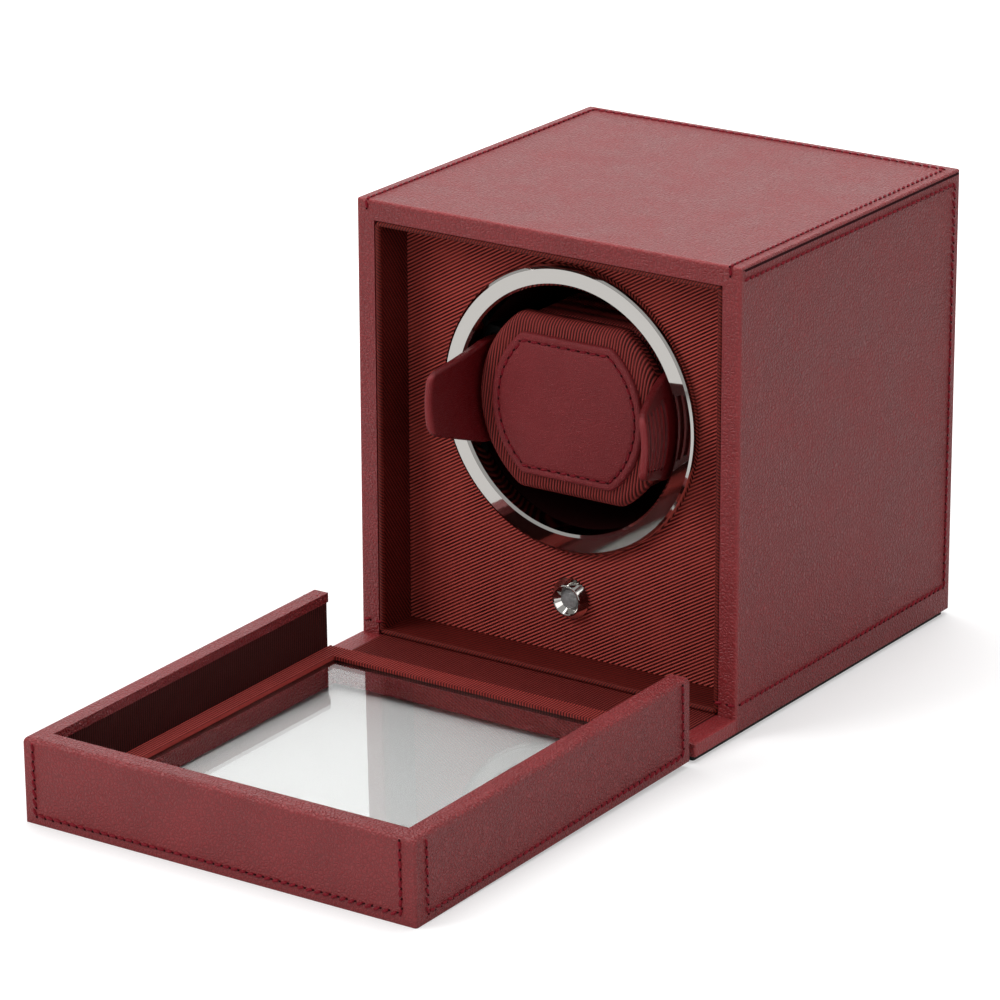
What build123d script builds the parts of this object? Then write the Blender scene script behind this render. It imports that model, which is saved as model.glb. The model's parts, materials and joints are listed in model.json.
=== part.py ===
from build123d import *
import math
import os

# Single watch winder: a leather cube with an open front, a glazed door that folds down
# on a flap of its own base, and a turning drum that holds a pull-out watch cuff.
# Millimetres. The origin is on the floor, under the middle of the case.
# +Y runs to the back, +Z up, and the open door lies towards -Y.

# The case
case_width = 140.0
case_depth = 132.0
case_height = 150.0
leather = 0.9
board = 5.6
edge_round = 0.8
corner_round = 0.85

# The base, whose front end runs out under the door as a flap
pad_height = 2.0
pad_inset = 1.6
base_board_height = 2.5
flap_length = 23.4
flap_border = 7.5
inlay_height = 1.2
seam_height = 9.5
seam_gap = 0.35

# The twill lined recess and its faceplate
liner_wall = 1.5
liner_gap = 0.2
liner_setback = 0.5
recess_depth = 15.0
twill = 0.6
face_board = 3.0
face_gap = 0.2
liner_behind = 0.8
piping_round = 0.6

# The chrome ring and the drum behind it
ring_margin = 5.9
ring_outer = 46.6
ring_inner = 40.0
ring_proud = 3.0
ring_shoulder = 1.2
ring_inner_bevel = 0.8
ring_sleeve = 1.2
ring_hole_gap = 0.2
ring_tail = 0.8
drum_gap = 0.6
drum_inner = 41.4
drum_wall = 1.6
drum_depth = 40.0
drum_floor = 2.5
lining = 0.7
hub_radius = 8.0
hub_length = 6.0
guide_wall = 2.5
guide_gap = 0.3
guide_side_gap = 0.5
guide_setback = 2.0

# The shaft, its bearings and the belt drive
shaft_radius = 3.0
shaft_fit = 0.05
bush_wall = 2.0
bush_flange = 1.4
bush_flange_height = 1.0
bush_length = 5.0
boss_wall = 4.0
boss_length = 13.0
boss_gap = 1.4
plate_thick = 3.0
plate_side_margin = 6.5
plate_top_margin = 6.0
plate_foot_margin = 7.6
plate_corner = 4.0
plate_window = 22.0
plate_boss_ahead = 1.0
plate_rib = 2.0
plate_rib_length = 24.0
pulley_gap = 0.7
pulley_width = 5.0
pulley_flange = 1.0
pulley_flange_height = 1.6
pulley_hub = 3.0
drum_pulley_radius = 22.0
motor_pulley_radius = 4.9
belt_thick = 1.0
belt_seat = 0.3
belt_side_gap = 0.6
clip_thick = 0.8
clip_height = 1.6
clip_groove = 0.5
motor_rise = 14.3
motor_radius = 12.0
motor_length = 21.0
can_radius = 10.0
can_length = 15.0
motor_nose = 4.0
motor_nose_length = 3.5
motor_shaft_radius = 1.5
motor_screw_reach = 8.5
standoff_radius = 3.5
standoff_foot = 5.6
standoff_inset = 5.5
standoff_hole = 8.0
screw_head_radius = 2.4
screw_head_height = 1.3
screw_radius = 1.1
screw_length = 7.0
slot_half = 1.3
slot_depth = 0.25
motor_screw_length = 2.5

# The electronics
circuit_thick = 1.6
circuit_width = 28.0
circuit_height = 52.0
circuit_inset = 15.0
circuit_z = 74.0
circuit_stand = 6.0
circuit_post_radius = 2.2
circuit_post_inset = 3.0
chip_width = 10.0
chip_height = 14.0
chip_thick = 2.0
capacitor_radius = 3.0
capacitor_length = 8.0
capacitor_pitch = 7.0
capacitor_rise = 17.0
plug_width = 16.0
plug_height = 7.0
plug_thick = 6.0
plug_drop = 18.5

# The power button
button_share = 0.549
bezel_flange = 6.7
bezel_rim = 4.95
bezel_proud = 3.3
bezel_flange_height = 0.5
bezel_mouth = 4.5
bezel_cup_depth = 2.0
bezel_lip = 0.2
bezel_barrel = 4.8
bezel_tail = 9.0
bezel_counterbore = 4.0
button_radius = 3.05
button_fit = 0.05
button_dome = 0.6
button_dome_radius = 1.8
button_dome_rise = 0.4
button_collar = 3.8
button_collar_height = 1.2
button_travel = 1.2
button_shelf = 2.0
spring_radius = 2.9
spring_wire = 0.25
spring_turns = 3.0
nut_across = 11.6
nut_height = 2.2
switch_board = 1.2
switch_gap = 0.2
switch_width = 22.0
switch_tall = 13.0
switch_post_radius = 1.6
switch_post_reach = 8.8

# The cuff that the watch is strapped round
cuff_half_width = 34.0
cuff_half_height = 28.6
cuff_flat_width = 19.0
cuff_corner_round = 5.0
block_front = 13.2
block_thick = 7.0
block_round = 2.8
block_back_round = 1.8
badge_half_width = 27.8
badge_half_height = 23.1
badge_flat_width = 16.5
badge_corner_round = 3.0
badge_thick = 1.6
badge_round = 0.7
core_thick = 3.4
core_inset = 3.0
rear_inset = 0.4
rear_drop = 2.2
rear_thick = 26.6
rear_round = 2.5

# The two ears that hold the watch and are pinched to draw the cuff out
ear_inner = 35.4
ear_thick = 2.9
ear_front = -6.3
ear_bend = 14.0
ear_back = 48.0
ear_flare = 3.6
ear_root_half = 16.5
ear_tip_half = 10.0
ear_corner = 4.5
ear_edge_round = 1.0
ear_squeeze = 1.1
ear_tongue = 2.0
ear_tongue_reach = 9.0
ear_tongue_half = 8.0
ear_tongue_root = 0.5
ear_slot_gap = 0.3
grip_count = 5
grip_pitch = 2.9
grip_first = -2.4
grip_radius = 0.95
grip_half = 8.0
grip_step = 0.8
ear_spring_radius = 2.0
ear_spring_wire = 0.3
ear_spring_turns = 4.0
ear_spring_depth = 42.0
ear_spring_well = 4.4
spring_room = 0.6

# The door, drawn as it would lie level, and then let down on its free edge
hinge_height = 4.9
hinge_gap = 1.2
door_gap = 2.1
door_depth_gap = 0.6
door_floor_gap = 0.05
door_inner_layer = 0.9
door_strip = 3.1
door_plate_top = 10.2
door_frame_height = 1.3
door_side_bar = 10.5
door_hinge_bar = 10.8
door_far_bar = 10.5
door_window_step = 2.0
door_top_round = 1.8
glass_thick = 2.0
glass_lap = 4.0
glass_gap = 0.3
glass_seat = 8.0
glass_bed = 0.05
frame_edge_round = 0.5
frame_gap = 0.2
knuckle_radius = 0.95
knuckle_count = 7
knuckle_gap = 0.3
hinge_margin = 2.5
pin_radius = 0.45
pin_fit = 0.05
leaf_thick = 0.5
leaf_reach = 7.0
leaf_pocket = 0.1
leaf_end_gap = 0.5
hinge_cloth = 0.35
magnet_radius = 2.0
magnet_thick = 2.0
magnet_inset = 2.5
magnet_reach = 45.0
magnet_gap = 0.1

# The service cover and the power inlet at the back
cover_half_width = 41.0
cover_low = 17.0
cover_high = 87.0
cover_lap = 5.0
cover_corner = 4.0
cover_stiffener = 1.6
cover_gap = 0.2
cover_screw_inset = 2.5
cover_head_radius = 2.0
cover_screw_stop = 1.5
inlet_height = 36.0
inlet_body = 5.0
inlet_bore = 2.85
inlet_pin = 1.0
inlet_pin_setback = 1.5
inlet_length = 11.0
inlet_floor = 2.0
inlet_flange = 1.5

# Places that follow from the sizes above
half_width = case_width / 2
front = -case_depth / 2
back = case_depth / 2
wall = leather + board
inner_half = half_width - wall
inner_top = case_height - wall
board_low = pad_height + leather
board_top = board_low + base_board_height
base_top = board_top + leather
inlay_top = board_top + inlay_height
inlay_half = half_width - flap_border
liner_half = inner_half - liner_gap
liner_top = inner_top - liner_gap
face = front + recess_depth
face_back = face + twill + face_board
face_half = liner_half - liner_wall - face_gap
recess_floor = inlay_top + liner_wall
recess_top = liner_top - liner_wall
face_low = recess_floor + face_gap
face_high = recess_top - face_gap
drum_height = recess_top - ring_margin - ring_outer
button_height = recess_floor + button_share * (drum_height - ring_outer - recess_floor)
sleeve_end = face_back + ring_tail
drum_front = sleeve_end + drum_gap
drum_back = drum_front + drum_depth
drum_outer = drum_inner + drum_wall
hub_end = drum_back + drum_floor + hub_length
boss_front = hub_end + boss_gap
plate_front = boss_front + plate_boss_ahead
plate_back = plate_front + plate_thick
boss_back = boss_front + boss_length
bush_outer = shaft_radius + shaft_fit + bush_wall
pulley_front = boss_back + bush_flange_height + pulley_gap
pulley_back = pulley_front + pulley_width + 2 * pulley_flange
shaft_end = pulley_back + pulley_hub + 2 * clip_thick
plate_half_width = inner_half - plate_side_margin
plate_low = board_top + plate_foot_margin
plate_high = inner_top - plate_top_margin
standoff_reach = plate_half_width - standoff_inset
standoff_low = plate_low + standoff_inset
standoff_high = plate_high - standoff_inset
circuit_x = plate_half_width - circuit_inset
motor_height = plate_low + motor_rise
motor_front = plate_front - motor_length
hinge_y = front - flap_length - hinge_gap
hinge_length = 2 * (inlay_half - hinge_margin)
door_wall_top = hinge_height + (front - door_depth_gap - hinge_y)
door_length = case_height - hinge_height
door_end = hinge_y - door_gap
door_far = hinge_y - door_length
lining_top = door_wall_top - door_strip
frame_top = door_plate_top + door_frame_height
frame_half = inner_half - frame_gap
window_half = inner_half - door_side_bar
window_near = door_end - door_hinge_bar
window_far = door_far + wall + door_far_bar


def span(x0, x1, y0, y1, z0, z1):
    """A block between two corners."""
    size = Box(abs(x1 - x0), abs(y1 - y0), abs(z1 - z0))
    return Pos((x0 + x1) / 2, (y0 + y1) / 2, (z0 + z1) / 2) * size


def rod(radius, y0, y1, x=0.0, z=0.0):
    """A round bar that runs along Y."""
    return Pos(x, (y0 + y1) / 2, z) * Rot(90, 0, 0) * Cylinder(radius, abs(y1 - y0))


def cross_rod(radius, x0, x1, y, z):
    """A round bar that runs along X."""
    return Pos((x0 + x1) / 2, y, z) * Rot(0, 90, 0) * Cylinder(radius, abs(x1 - x0))


def tube(outer, inner, y0, y1, x=0.0, z=0.0):
    return rod(outer, y0, y1, x, z) - rod(inner, y0 - 1, y1 + 1, x, z)


def turned(points, x=0.0, z=0.0):
    """A solid turned about an axis along Y, from points given as radius and place on that axis."""
    outline = make_face(Polyline(*[(r, y) for r, y in points], close=True))
    return Pos(x, 0, z) * revolve(outline, Axis.Y)


def rounded(solid, radius, axis=None, pick=None):
    """Rounds the edges that run along an axis and pass the test."""
    edges = solid.edges() if axis is None else solid.edges().filter_by(axis)
    if pick:
        edges = ShapeList([e for e in edges if pick(e.center())])
    return fillet(edges, radius)


def barrel(half_x, half_z, flat_x, corner, grow=0.0):
    """The cuff's outline: level above and below, and bowed out in an arc to the left and right."""
    hx, hz, fx = half_x + grow, half_z + grow, flat_x + grow / 2
    sides = [ThreePointArc((s * fx, -s * hz), (s * hx, 0), (s * fx, s * hz)) for s in (-1, 1)]
    flats = [Line((-fx, height), (fx, height)) for height in (-hz, hz)]
    outline = make_face(Curve() + sides + flats)
    return fillet(outline.vertices(), corner)


def upright(outline, y0, y1, z):
    """Extrudes an outline that is drawn in X and Z, from y0 to y1."""
    plane = Plane(origin=(0, y1, z), x_dir=(1, 0, 0), z_dir=(0, -1, 0))
    return extrude(plane * outline, y1 - y0)


def grouped(pieces):
    """Separate like pieces that share one node."""
    return Compound([piece.solid() for piece in pieces])


def coil(radius, wire, length, turns):
    """A compression spring that stands on Z."""
    pitch = (length - 2 * wire) / turns
    path = Pos(0, 0, wire) * Helix(pitch, length - 2 * wire, radius)
    start = Plane(origin=path @ 0, z_dir=path % 0)
    return sweep(start * RegularPolygon(wire, 6), path, is_frenet=True)


def case_skin():
    """The whole leather skin of the cube, before it is cut into its panels."""
    outer = span(-half_width, half_width, front, back, pad_height, case_height)
    outer = rounded(outer, corner_round, Axis.Z)
    outer = rounded(outer, edge_round, None, lambda c: c.Z > case_height - edge_round / 2)
    inner = span(leather - half_width, half_width - leather, front + leather, back - leather,
                 board_low, case_height - leather)
    mouth = span(-inner_half, inner_half, front - 1, front + wall, base_top, inner_top)
    return outer - inner - mouth


def flap_skin():
    outer = span(-half_width, half_width, front - flap_length, front, pad_height, base_top)
    near = front - flap_length + 1
    outer = rounded(outer, corner_round, Axis.Z, lambda c: c.Y < near)
    outer = rounded(outer, edge_round / 2, None,
                    lambda c: c.Z > base_top - 0.1 and (c.Y < near or abs(c.X) > half_width - 1))
    inner = span(leather - half_width, half_width - leather, front - flap_length + leather, front + 1,
                 board_low, board_top)
    inlay = span(-inlay_half, inlay_half, front - flap_length - 1, front + 1, board_top, base_top + 1)
    return outer - inner - inlay


def rim_strip():
    """The front strip of the top leather, which is mitred at both corners of the rim."""
    corners = [(-inner_half, inner_top), (-half_width, case_height),
               (half_width, case_height), (inner_half, inner_top)]
    return upright(make_face(Polyline(*corners, close=True)), front, front + leather, 0)


def leather_panels():
    skin = case_skin()
    top_zone = span(-half_width, half_width, front + leather, back, case_height - leather, case_height)
    top = skin & (top_zone + rim_strip())
    seam_top = case_height - leather - seam_gap
    side_zone = span(half_width - leather, half_width, front + leather, back, seam_height, seam_top)
    rim_zone = span(inner_half, half_width, front, front + leather, seam_height, case_height)
    right = (skin & (side_zone + rim_zone)) - rim_strip()
    back_zone = span(leather - half_width, half_width - leather, back - leather, back, seam_height, seam_top)
    rear = (skin & back_zone) - cover_outline(cover_gap, back - 2 * leather, back + 1)
    base_zone = span(-half_width, half_width, front, back, pad_height, seam_height)
    base = (skin & base_zone) + flap_skin()
    base -= span(leather - half_width, half_width - leather, front - 1, front + 2 * leather,
                 board_low, board_top)
    base -= span(-inlay_half, inlay_half, front - 1, front + 2 * leather, board_top, base_top + 1)
    return {
        "top_leather": top,
        "side_leather_right": right,
        "side_leather_left": mirror(right, Plane.YZ),
        "back_leather": rear,
        "base_leather": base,
    }


def leaf_slot():
    """The room for the fixed hinge leaf, on top of the base board and under the inlay."""
    reach = front - flap_length + leaf_reach + leaf_pocket
    half = hinge_length / 2 + leaf_end_gap
    return span(-half, half, front - flap_length - 1, reach, board_top, board_top + leaf_thick + leaf_pocket)


def base_parts():
    edge = leather
    base_front = front - flap_length + edge
    core = span(edge - half_width, half_width - edge, base_front, back - edge, board_low, board_top)
    pad = span(pad_inset - half_width, half_width - pad_inset, front - flap_length + pad_inset,
               back - pad_inset, 0, pad_height)
    pad = rounded(pad, corner_round, Axis.Z)
    inlay = span(-inlay_half, inlay_half, front - flap_length, face, board_top, inlay_top)
    inlay = rounded(inlay, twill / 2, Axis.X, lambda c: c.Z > board_top + 0.1 and c.Y < front - 1)
    inlay -= leaf_slot()
    return {"base_board": core, "base_pad": pad, "flap_twill": inlay}


def carcass():
    """The glued wooden box: two sides, a top and a back, standing on the base board."""
    outer = span(leather - half_width, half_width - leather, front + leather, back - leather,
                 board_top, case_height - leather)
    room = span(-inner_half, inner_half, front - 1, back - wall, board_top - 1, inner_top)
    low, high = cover_low + cover_lap, cover_high - cover_lap
    half = cover_half_width - cover_lap
    hatch = span(-half, half, back - wall - 1, back, low, high)
    box = outer - room - hatch
    for x in (-magnet_reach, magnet_reach):
        box -= rod(magnet_radius + magnet_gap, front, front + leather + magnet_thick + magnet_gap,
                   x, magnet_line())
    for x, z in cover_screw_places():
        box -= rod(screw_radius, back - wall + 1, back, x, z)
    return box


def magnet_line():
    """The height of the magnets in the top wall, where the shut door's own magnets meet them."""
    return case_height - leather - magnet_inset


def case_magnets():
    y = front + leather + magnet_gap / 2
    return grouped(rod(magnet_radius, y, y + magnet_thick, x, magnet_line())
                   for x in (-magnet_reach, magnet_reach))


def recess_parts():
    """The open twill box inside the rim, and the twill faced board at its back."""
    liner_front = front + liner_setback
    liner_back = face_back + liner_behind
    outer = span(-liner_half, liner_half, liner_front, liner_back, inlay_top, liner_top)
    inner = span(liner_wall - liner_half, liner_half - liner_wall, front - 1, liner_back + 1,
                 inlay_top + liner_wall, liner_top - liner_wall)
    liner = outer - inner
    liner = rounded(liner, piping_round, None, lambda c: c.Y < liner_front + 0.1)
    plate = span(-face_half, face_half, face + twill, face_back, face_low, face_high)
    cloth = span(-face_half, face_half, face, face + twill, face_low, face_high)
    ring_hole = rod(ring_inner + ring_sleeve + ring_hole_gap, face - 1, face_back + 1, 0, drum_height)
    button_hole = rod(bezel_barrel + ring_hole_gap, face - 1, face_back + 1, 0, button_height)
    holes = ring_hole + button_hole
    return {"liner_box": liner, "faceplate": plate - holes, "faceplate_twill": cloth - holes}


def bezel_ring():
    """The polished ring: a flat face with a rolled shoulder, and a sleeve through the faceplate."""
    lip = face - ring_proud
    sleeve = ring_inner + ring_sleeve
    with_shoulder = [
        (sleeve, sleeve_end), (sleeve, face), (ring_outer, face), (ring_outer, lip + ring_shoulder),
        (ring_outer - 0.35 * ring_shoulder, lip + 0.35 * ring_shoulder), (ring_outer - ring_shoulder, lip),
        (ring_inner + ring_inner_bevel, lip), (ring_inner, lip + ring_inner_bevel), (ring_inner, sleeve_end),
    ]
    return turned(with_shoulder, 0, drum_height)


def guide_blocks(grow):
    """The two blocks in the drum's wall that the ears' channels are cut in."""
    half = ear_root_half + guide_side_gap + guide_wall + grow
    y0, y1 = drum_front + guide_setback - grow, drum_back
    low, high = drum_height - half, drum_height + half
    inner = math.sqrt(ear_inner ** 2 - ear_root_half ** 2) - grow
    return span(inner, drum_outer, y0, y1, low, high) + span(-drum_outer, -inner, y0, y1, low, high)


def guide_rooms():
    """The channels themselves: the ears slide in them, and spring out against their floors."""
    half = ear_root_half + guide_side_gap
    reach = ear_inner + ear_thick + guide_gap
    room = rod(reach, drum_front, drum_back + 1, 0, drum_height)
    return room & span(-reach, reach, drum_front, drum_back + 1, drum_height - half, drum_height + half)


def drum_parts():
    """The turning cup with the two channels that hold the ears, its lining, and its shaft."""
    z = drum_height
    floor_back = drum_back + drum_floor
    cup = rod(drum_outer, drum_front, floor_back, 0, z) - rod(drum_inner, drum_front - 1, drum_back, 0, z)
    cup += rod(hub_radius, floor_back, hub_end, 0, z)
    guides = guide_blocks(0) - guide_rooms()
    cup += guides & rod(drum_inner + drum_wall / 2, drum_front, drum_back, 0, z)
    cup -= rod(shaft_radius, drum_back + drum_floor / 2, hub_end + 1, 0, z)
    wall_cloth = tube(drum_inner, drum_inner - lining, drum_front + lining, drum_back, 0, z)
    floor_cloth = rod(drum_inner - lining, drum_back - lining, drum_back, 0, z)
    cloth = (wall_cloth + floor_cloth) - guide_blocks(guide_gap / 2)
    shaft = rod(shaft_radius, drum_back + drum_floor / 2, shaft_end, 0, z)
    groove_y = pulley_back + pulley_hub + clip_thick / 2
    neck = shaft_radius - clip_groove
    shaft -= tube(shaft_radius + 1, neck, groove_y, groove_y + clip_thick, 0, z)
    clip = tube(shaft_radius + clip_height, neck, groove_y, groove_y + clip_thick, 0, z)
    clip -= span(-shaft_radius / 2, shaft_radius / 2, groove_y - 1, groove_y + 2, z, z + 2 * shaft_radius)
    return {"drum": cup, "drum_lining": cloth, "drum_shaft": shaft, "shaft_clip": clip}


def pulley(radius, bore, z, hub):
    """A belt pulley with two guide flanges, turned about an axis along Y."""
    flange = radius + pulley_flange_height
    y0, y1 = pulley_front, pulley_back
    points = [
        (bore, y0), (flange, y0), (flange, y0 + pulley_flange), (radius, y0 + pulley_flange),
        (radius, y1 - pulley_flange), (flange, y1 - pulley_flange), (flange, y1), (hub, y1),
        (hub, y1 + pulley_hub), (bore, y1 + pulley_hub),
    ]
    return turned(points, 0, z)


def belt_loop(grow):
    """The closed outline round both pulleys, at a given distance from their treads."""
    upper = Pos(0, drum_height) * Circle(drum_pulley_radius + grow)
    lower = Pos(0, motor_height) * Circle(motor_pulley_radius + grow)
    return make_hull((upper + lower).edges())


def drive_parts():
    """The belt drive: both pulleys, the belt, and the geared motor on the bearing plate."""
    tread = pulley_front + pulley_flange
    plane = Plane(origin=(0, tread + pulley_width - belt_side_gap, 0), x_dir=(1, 0, 0), z_dir=(0, -1, 0))
    ring = belt_loop(belt_seat + belt_thick) - belt_loop(belt_seat)
    belt = extrude(plane * ring, pulley_width - 2 * belt_side_gap)
    wheel = pulley(drum_pulley_radius, shaft_radius, drum_height, hub_radius - 1)
    arm_hole = (drum_pulley_radius + hub_radius) / 2
    for angle in range(0, 360, 60):
        x = arm_hole * math.sin(math.radians(angle))
        z = drum_height + arm_hole * math.cos(math.radians(angle))
        wheel -= rod(arm_hole / 4, pulley_front - 1, pulley_back + pulley_hub + 1, x, z)
    small = pulley(motor_pulley_radius, motor_shaft_radius, motor_height, motor_nose)
    spindle_back = pulley_back + pulley_hub
    spindle = rod(motor_shaft_radius, plate_front - motor_length / 2, spindle_back, 0, motor_height)
    gearbox = rod(motor_radius, motor_front, plate_front, 0, motor_height)
    gearbox += rod(can_radius, motor_front - can_length, motor_front, 0, motor_height)
    gearbox += rod(motor_nose, plate_front, plate_front + motor_nose_length, 0, motor_height)
    gearbox += rod(can_radius / 3, motor_front - can_length - 1, motor_front - can_length, 0, motor_height)
    running = motor_shaft_radius + shaft_fit
    gearbox -= rod(running, plate_front - motor_length / 2 - 1, plate_back + 2, 0, motor_height)
    for side in (-1, 1):
        gearbox -= rod(screw_radius, plate_front - 1.2 * motor_screw_length, plate_front + 1,
                       side * motor_screw_reach, motor_height)
    return {
        "drive_belt": belt,
        "drum_pulley": wheel,
        "motor_pulley": small,
        "motor_shaft": spindle,
        "gear_motor": gearbox,
    }


def standoff_places():
    return [(x, z) for x in (-standoff_reach, standoff_reach) for z in (standoff_low, standoff_high)]


def bearing_parts():
    """The plate behind the drum, with its bearing boss, bushes, posts and screws."""
    z = drum_height
    plate = span(-plate_half_width, plate_half_width, plate_front, plate_back, plate_low, plate_high)
    plate = rounded(plate, plate_corner, Axis.Y)
    for x in (-plate_half_width, plate_half_width):
        plate -= rod(plate_window, plate_front - 1, plate_back + 1, x, z)
    boss = rod(bush_outer + boss_wall, boss_front, boss_back, 0, z)
    plate += boss
    for angle in range(45, 360, 90):
        rib = span(0, plate_rib_length, plate_back, plate_back + plate_thick, -plate_rib / 2, plate_rib / 2)
        plate += Pos(0, 0, z) * Rot(0, angle, 0) * rib
    plate -= rod(bush_outer, boss_front - 1, boss_back + 1, 0, z)
    plate -= rod(motor_nose + ring_hole_gap, plate_front - 1, plate_back + 1, 0, motor_height)
    for side in (-1, 1):
        plate -= rod(screw_radius, plate_front - 1, plate_back + 1, side * motor_screw_reach, motor_height)
    for x, height in standoff_places():
        plate -= rod(screw_radius, plate_front - 1, plate_back + 1, x, height)
    bore = shaft_radius + shaft_fit
    front_bush = tube(bush_outer, bore, boss_front, boss_front + bush_length, 0, z)
    front_bush += tube(bush_outer + bush_flange, bore, boss_front - bush_flange_height, boss_front, 0, z)
    rear_bush = tube(bush_outer, bore, boss_back - bush_length, boss_back, 0, z)
    rear_bush += tube(bush_outer + bush_flange, bore, boss_back, boss_back + bush_flange_height, 0, z)
    posts = []
    screws = []
    for x, height in standoff_places():
        post = rod(standoff_radius, face_back, plate_front, x, height)
        post += rod(standoff_foot, face_back, face_back + plate_thick, x, height)
        posts.append(post - rod(screw_radius, plate_front - standoff_hole, plate_front + 1, x, height))
        screw = rod(screw_head_radius, plate_back, plate_back + screw_head_height, x, height)
        screws.append(screw + rod(screw_radius, plate_front - screw_length, plate_back, x, height))
    for side in (-1, 1):
        x = side * motor_screw_reach
        screw = rod(screw_head_radius, plate_back, plate_back + screw_head_height, x, motor_height)
        shank = rod(screw_radius, plate_front - motor_screw_length, plate_back, x, motor_height)
        screws.append(screw + shank)
    return {
        "bearing_plate": plate,
        "bush_front": front_bush,
        "bush_rear": rear_bush,
        "standoff_posts": grouped(posts),
        "drive_screws": grouped(screws),
    }


def electronics():
    """The control circuit on the bearing plate, with its raised components."""
    y0 = plate_back + circuit_stand
    half_w, half_h = circuit_width / 2, circuit_height / 2
    sheet = span(circuit_x - half_w, circuit_x + half_w, y0, y0 + circuit_thick,
                 circuit_z - half_h, circuit_z + half_h)
    for sx in (-1, 1):
        for sz in (-1, 1):
            x = circuit_x + sx * (half_w - circuit_post_inset)
            z = circuit_z + sz * (half_h - circuit_post_inset)
            sheet += rod(circuit_post_radius, plate_back, y0, x, z)
    top = y0 + circuit_thick
    chip = span(circuit_x - chip_width / 2, circuit_x + chip_width / 2, top, top + chip_thick,
                circuit_z - chip_height / 2, circuit_z + chip_height / 2)
    cans = [rod(capacitor_radius, top, top + capacitor_length, x, circuit_z + capacitor_rise)
            for x in (circuit_x - capacitor_pitch, circuit_x)]
    plug_z = circuit_z - plug_drop
    plug = span(circuit_x - plug_width / 2, circuit_x + plug_width / 2, top, top + plug_thick,
                plug_z - plug_height / 2, plug_z + plug_height / 2)
    return {"control_board": sheet, "board_components": grouped([chip, *cans, plug])}


def button_parts():
    """The power button in its polished bezel, with its nut, spring and switch behind the board."""
    z = button_height
    rim = face - bezel_proud
    bore = button_radius + button_fit
    stop = face + button_shelf
    barrel_end = face + bezel_tail
    bezel = turned([
        (bore, rim + bezel_cup_depth), (bezel_mouth, rim + bezel_lip), (bezel_mouth + bezel_lip, rim),
        (bezel_rim, rim), (bezel_rim + bezel_lip, rim + bezel_lip),
        (bezel_flange, face - bezel_flange_height), (bezel_flange, face), (bezel_barrel, face),
        (bezel_barrel, barrel_end), (bezel_counterbore, barrel_end), (bezel_counterbore, stop), (bore, stop),
    ], 0, z)
    seat = rim + bezel_cup_depth - button_dome
    cap = turned([
        (0, seat), (button_dome_radius, seat + button_dome - button_dome_rise),
        (button_radius, seat + button_dome), (button_radius, stop), (button_collar, stop),
        (button_collar, stop + button_collar_height), (0, stop + button_collar_height),
    ], 0, z)
    nut = extrude(Plane(origin=(0, face_back + nut_height, z), x_dir=(1, 0, 0), z_dir=(0, -1, 0))
                  * RegularPolygon(nut_across / math.sqrt(3), 6), nut_height)
    nut -= rod(bezel_barrel + button_fit, face_back - 1, face_back + nut_height + 1, 0, z)
    board_y = barrel_end + switch_gap
    sheet = span(-switch_width / 2, switch_width / 2, board_y, board_y + switch_board,
                 z - switch_tall / 2, z + switch_tall / 2)
    for x in (-switch_post_reach, switch_post_reach):
        sheet += rod(switch_post_radius, face_back, board_y, x, z)
    spring_start = stop + button_collar_height
    sheet += rod(button_collar / 2, spring_start + button_travel + button_fit, board_y, 0, z)
    spring = coil(spring_radius, spring_wire, board_y - spring_start, spring_turns)
    spring = Pos(0, board_y, z) * Rot(90, 0, 0) * spring
    return {
        "button_bezel": bezel,
        "power_button": cap,
        "bezel_nut": nut,
        "switch_board": sheet,
        "button_spring": spring,
    }


def cover_outline(gap, y0, y1):
    """The rounded oblong of the service cover."""
    plate = span(-cover_half_width - gap, cover_half_width + gap, y0, y1, cover_low - gap, cover_high + gap)
    return rounded(plate, cover_corner, Axis.Y)


def cover_screw_places():
    x = cover_half_width - cover_screw_inset
    heights = (cover_low + cover_screw_inset, cover_high - cover_screw_inset)
    return [(sx * x, z) for sx in (-1, 1) for z in heights]


def rear_parts():
    """The flush service cover with its screws, and the inlet for a mains adapter."""
    plate = cover_outline(0, back - leather, back)
    half = cover_half_width - cover_lap - cover_gap
    low, high = cover_low + cover_lap + cover_gap, cover_high - cover_lap - cover_gap
    plate += span(-half, half, back - leather - cover_stiffener, back - leather, low, high)
    plate -= rod(inlet_body, back - wall, back + 1, 0, inlet_height)
    screws = []
    for x, z in cover_screw_places():
        plate -= rod(screw_radius, back - wall, back + 1, x, z)
        plate -= rod(cover_head_radius, back - leather / 2, back + 1, x, z)
        head = rod(cover_head_radius, back - leather / 2, back, x, z)
        slot = span(x - slot_half, x + slot_half, back - slot_depth, back + 1,
                    z - slot_depth, z + slot_depth)
        shank = rod(screw_radius, back - wall + cover_screw_stop, back - leather / 2, x, z)
        screws.append(head + shank - slot)
    deep = back - inlet_length
    inlet = rod(inlet_body, deep, back, 0, inlet_height)
    rib = back - leather - cover_stiffener
    inlet += rod(inlet_body + inlet_flange, rib - inlet_flange, rib, 0, inlet_height)
    inlet -= rod(inlet_bore, deep + inlet_floor, back + 1, 0, inlet_height)
    inlet += rod(inlet_pin, deep + inlet_floor / 2, back - inlet_pin_setback, 0, inlet_height)
    return {"rear_cover": plate, "cover_screws": grouped(screws), "power_inlet": inlet}


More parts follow.
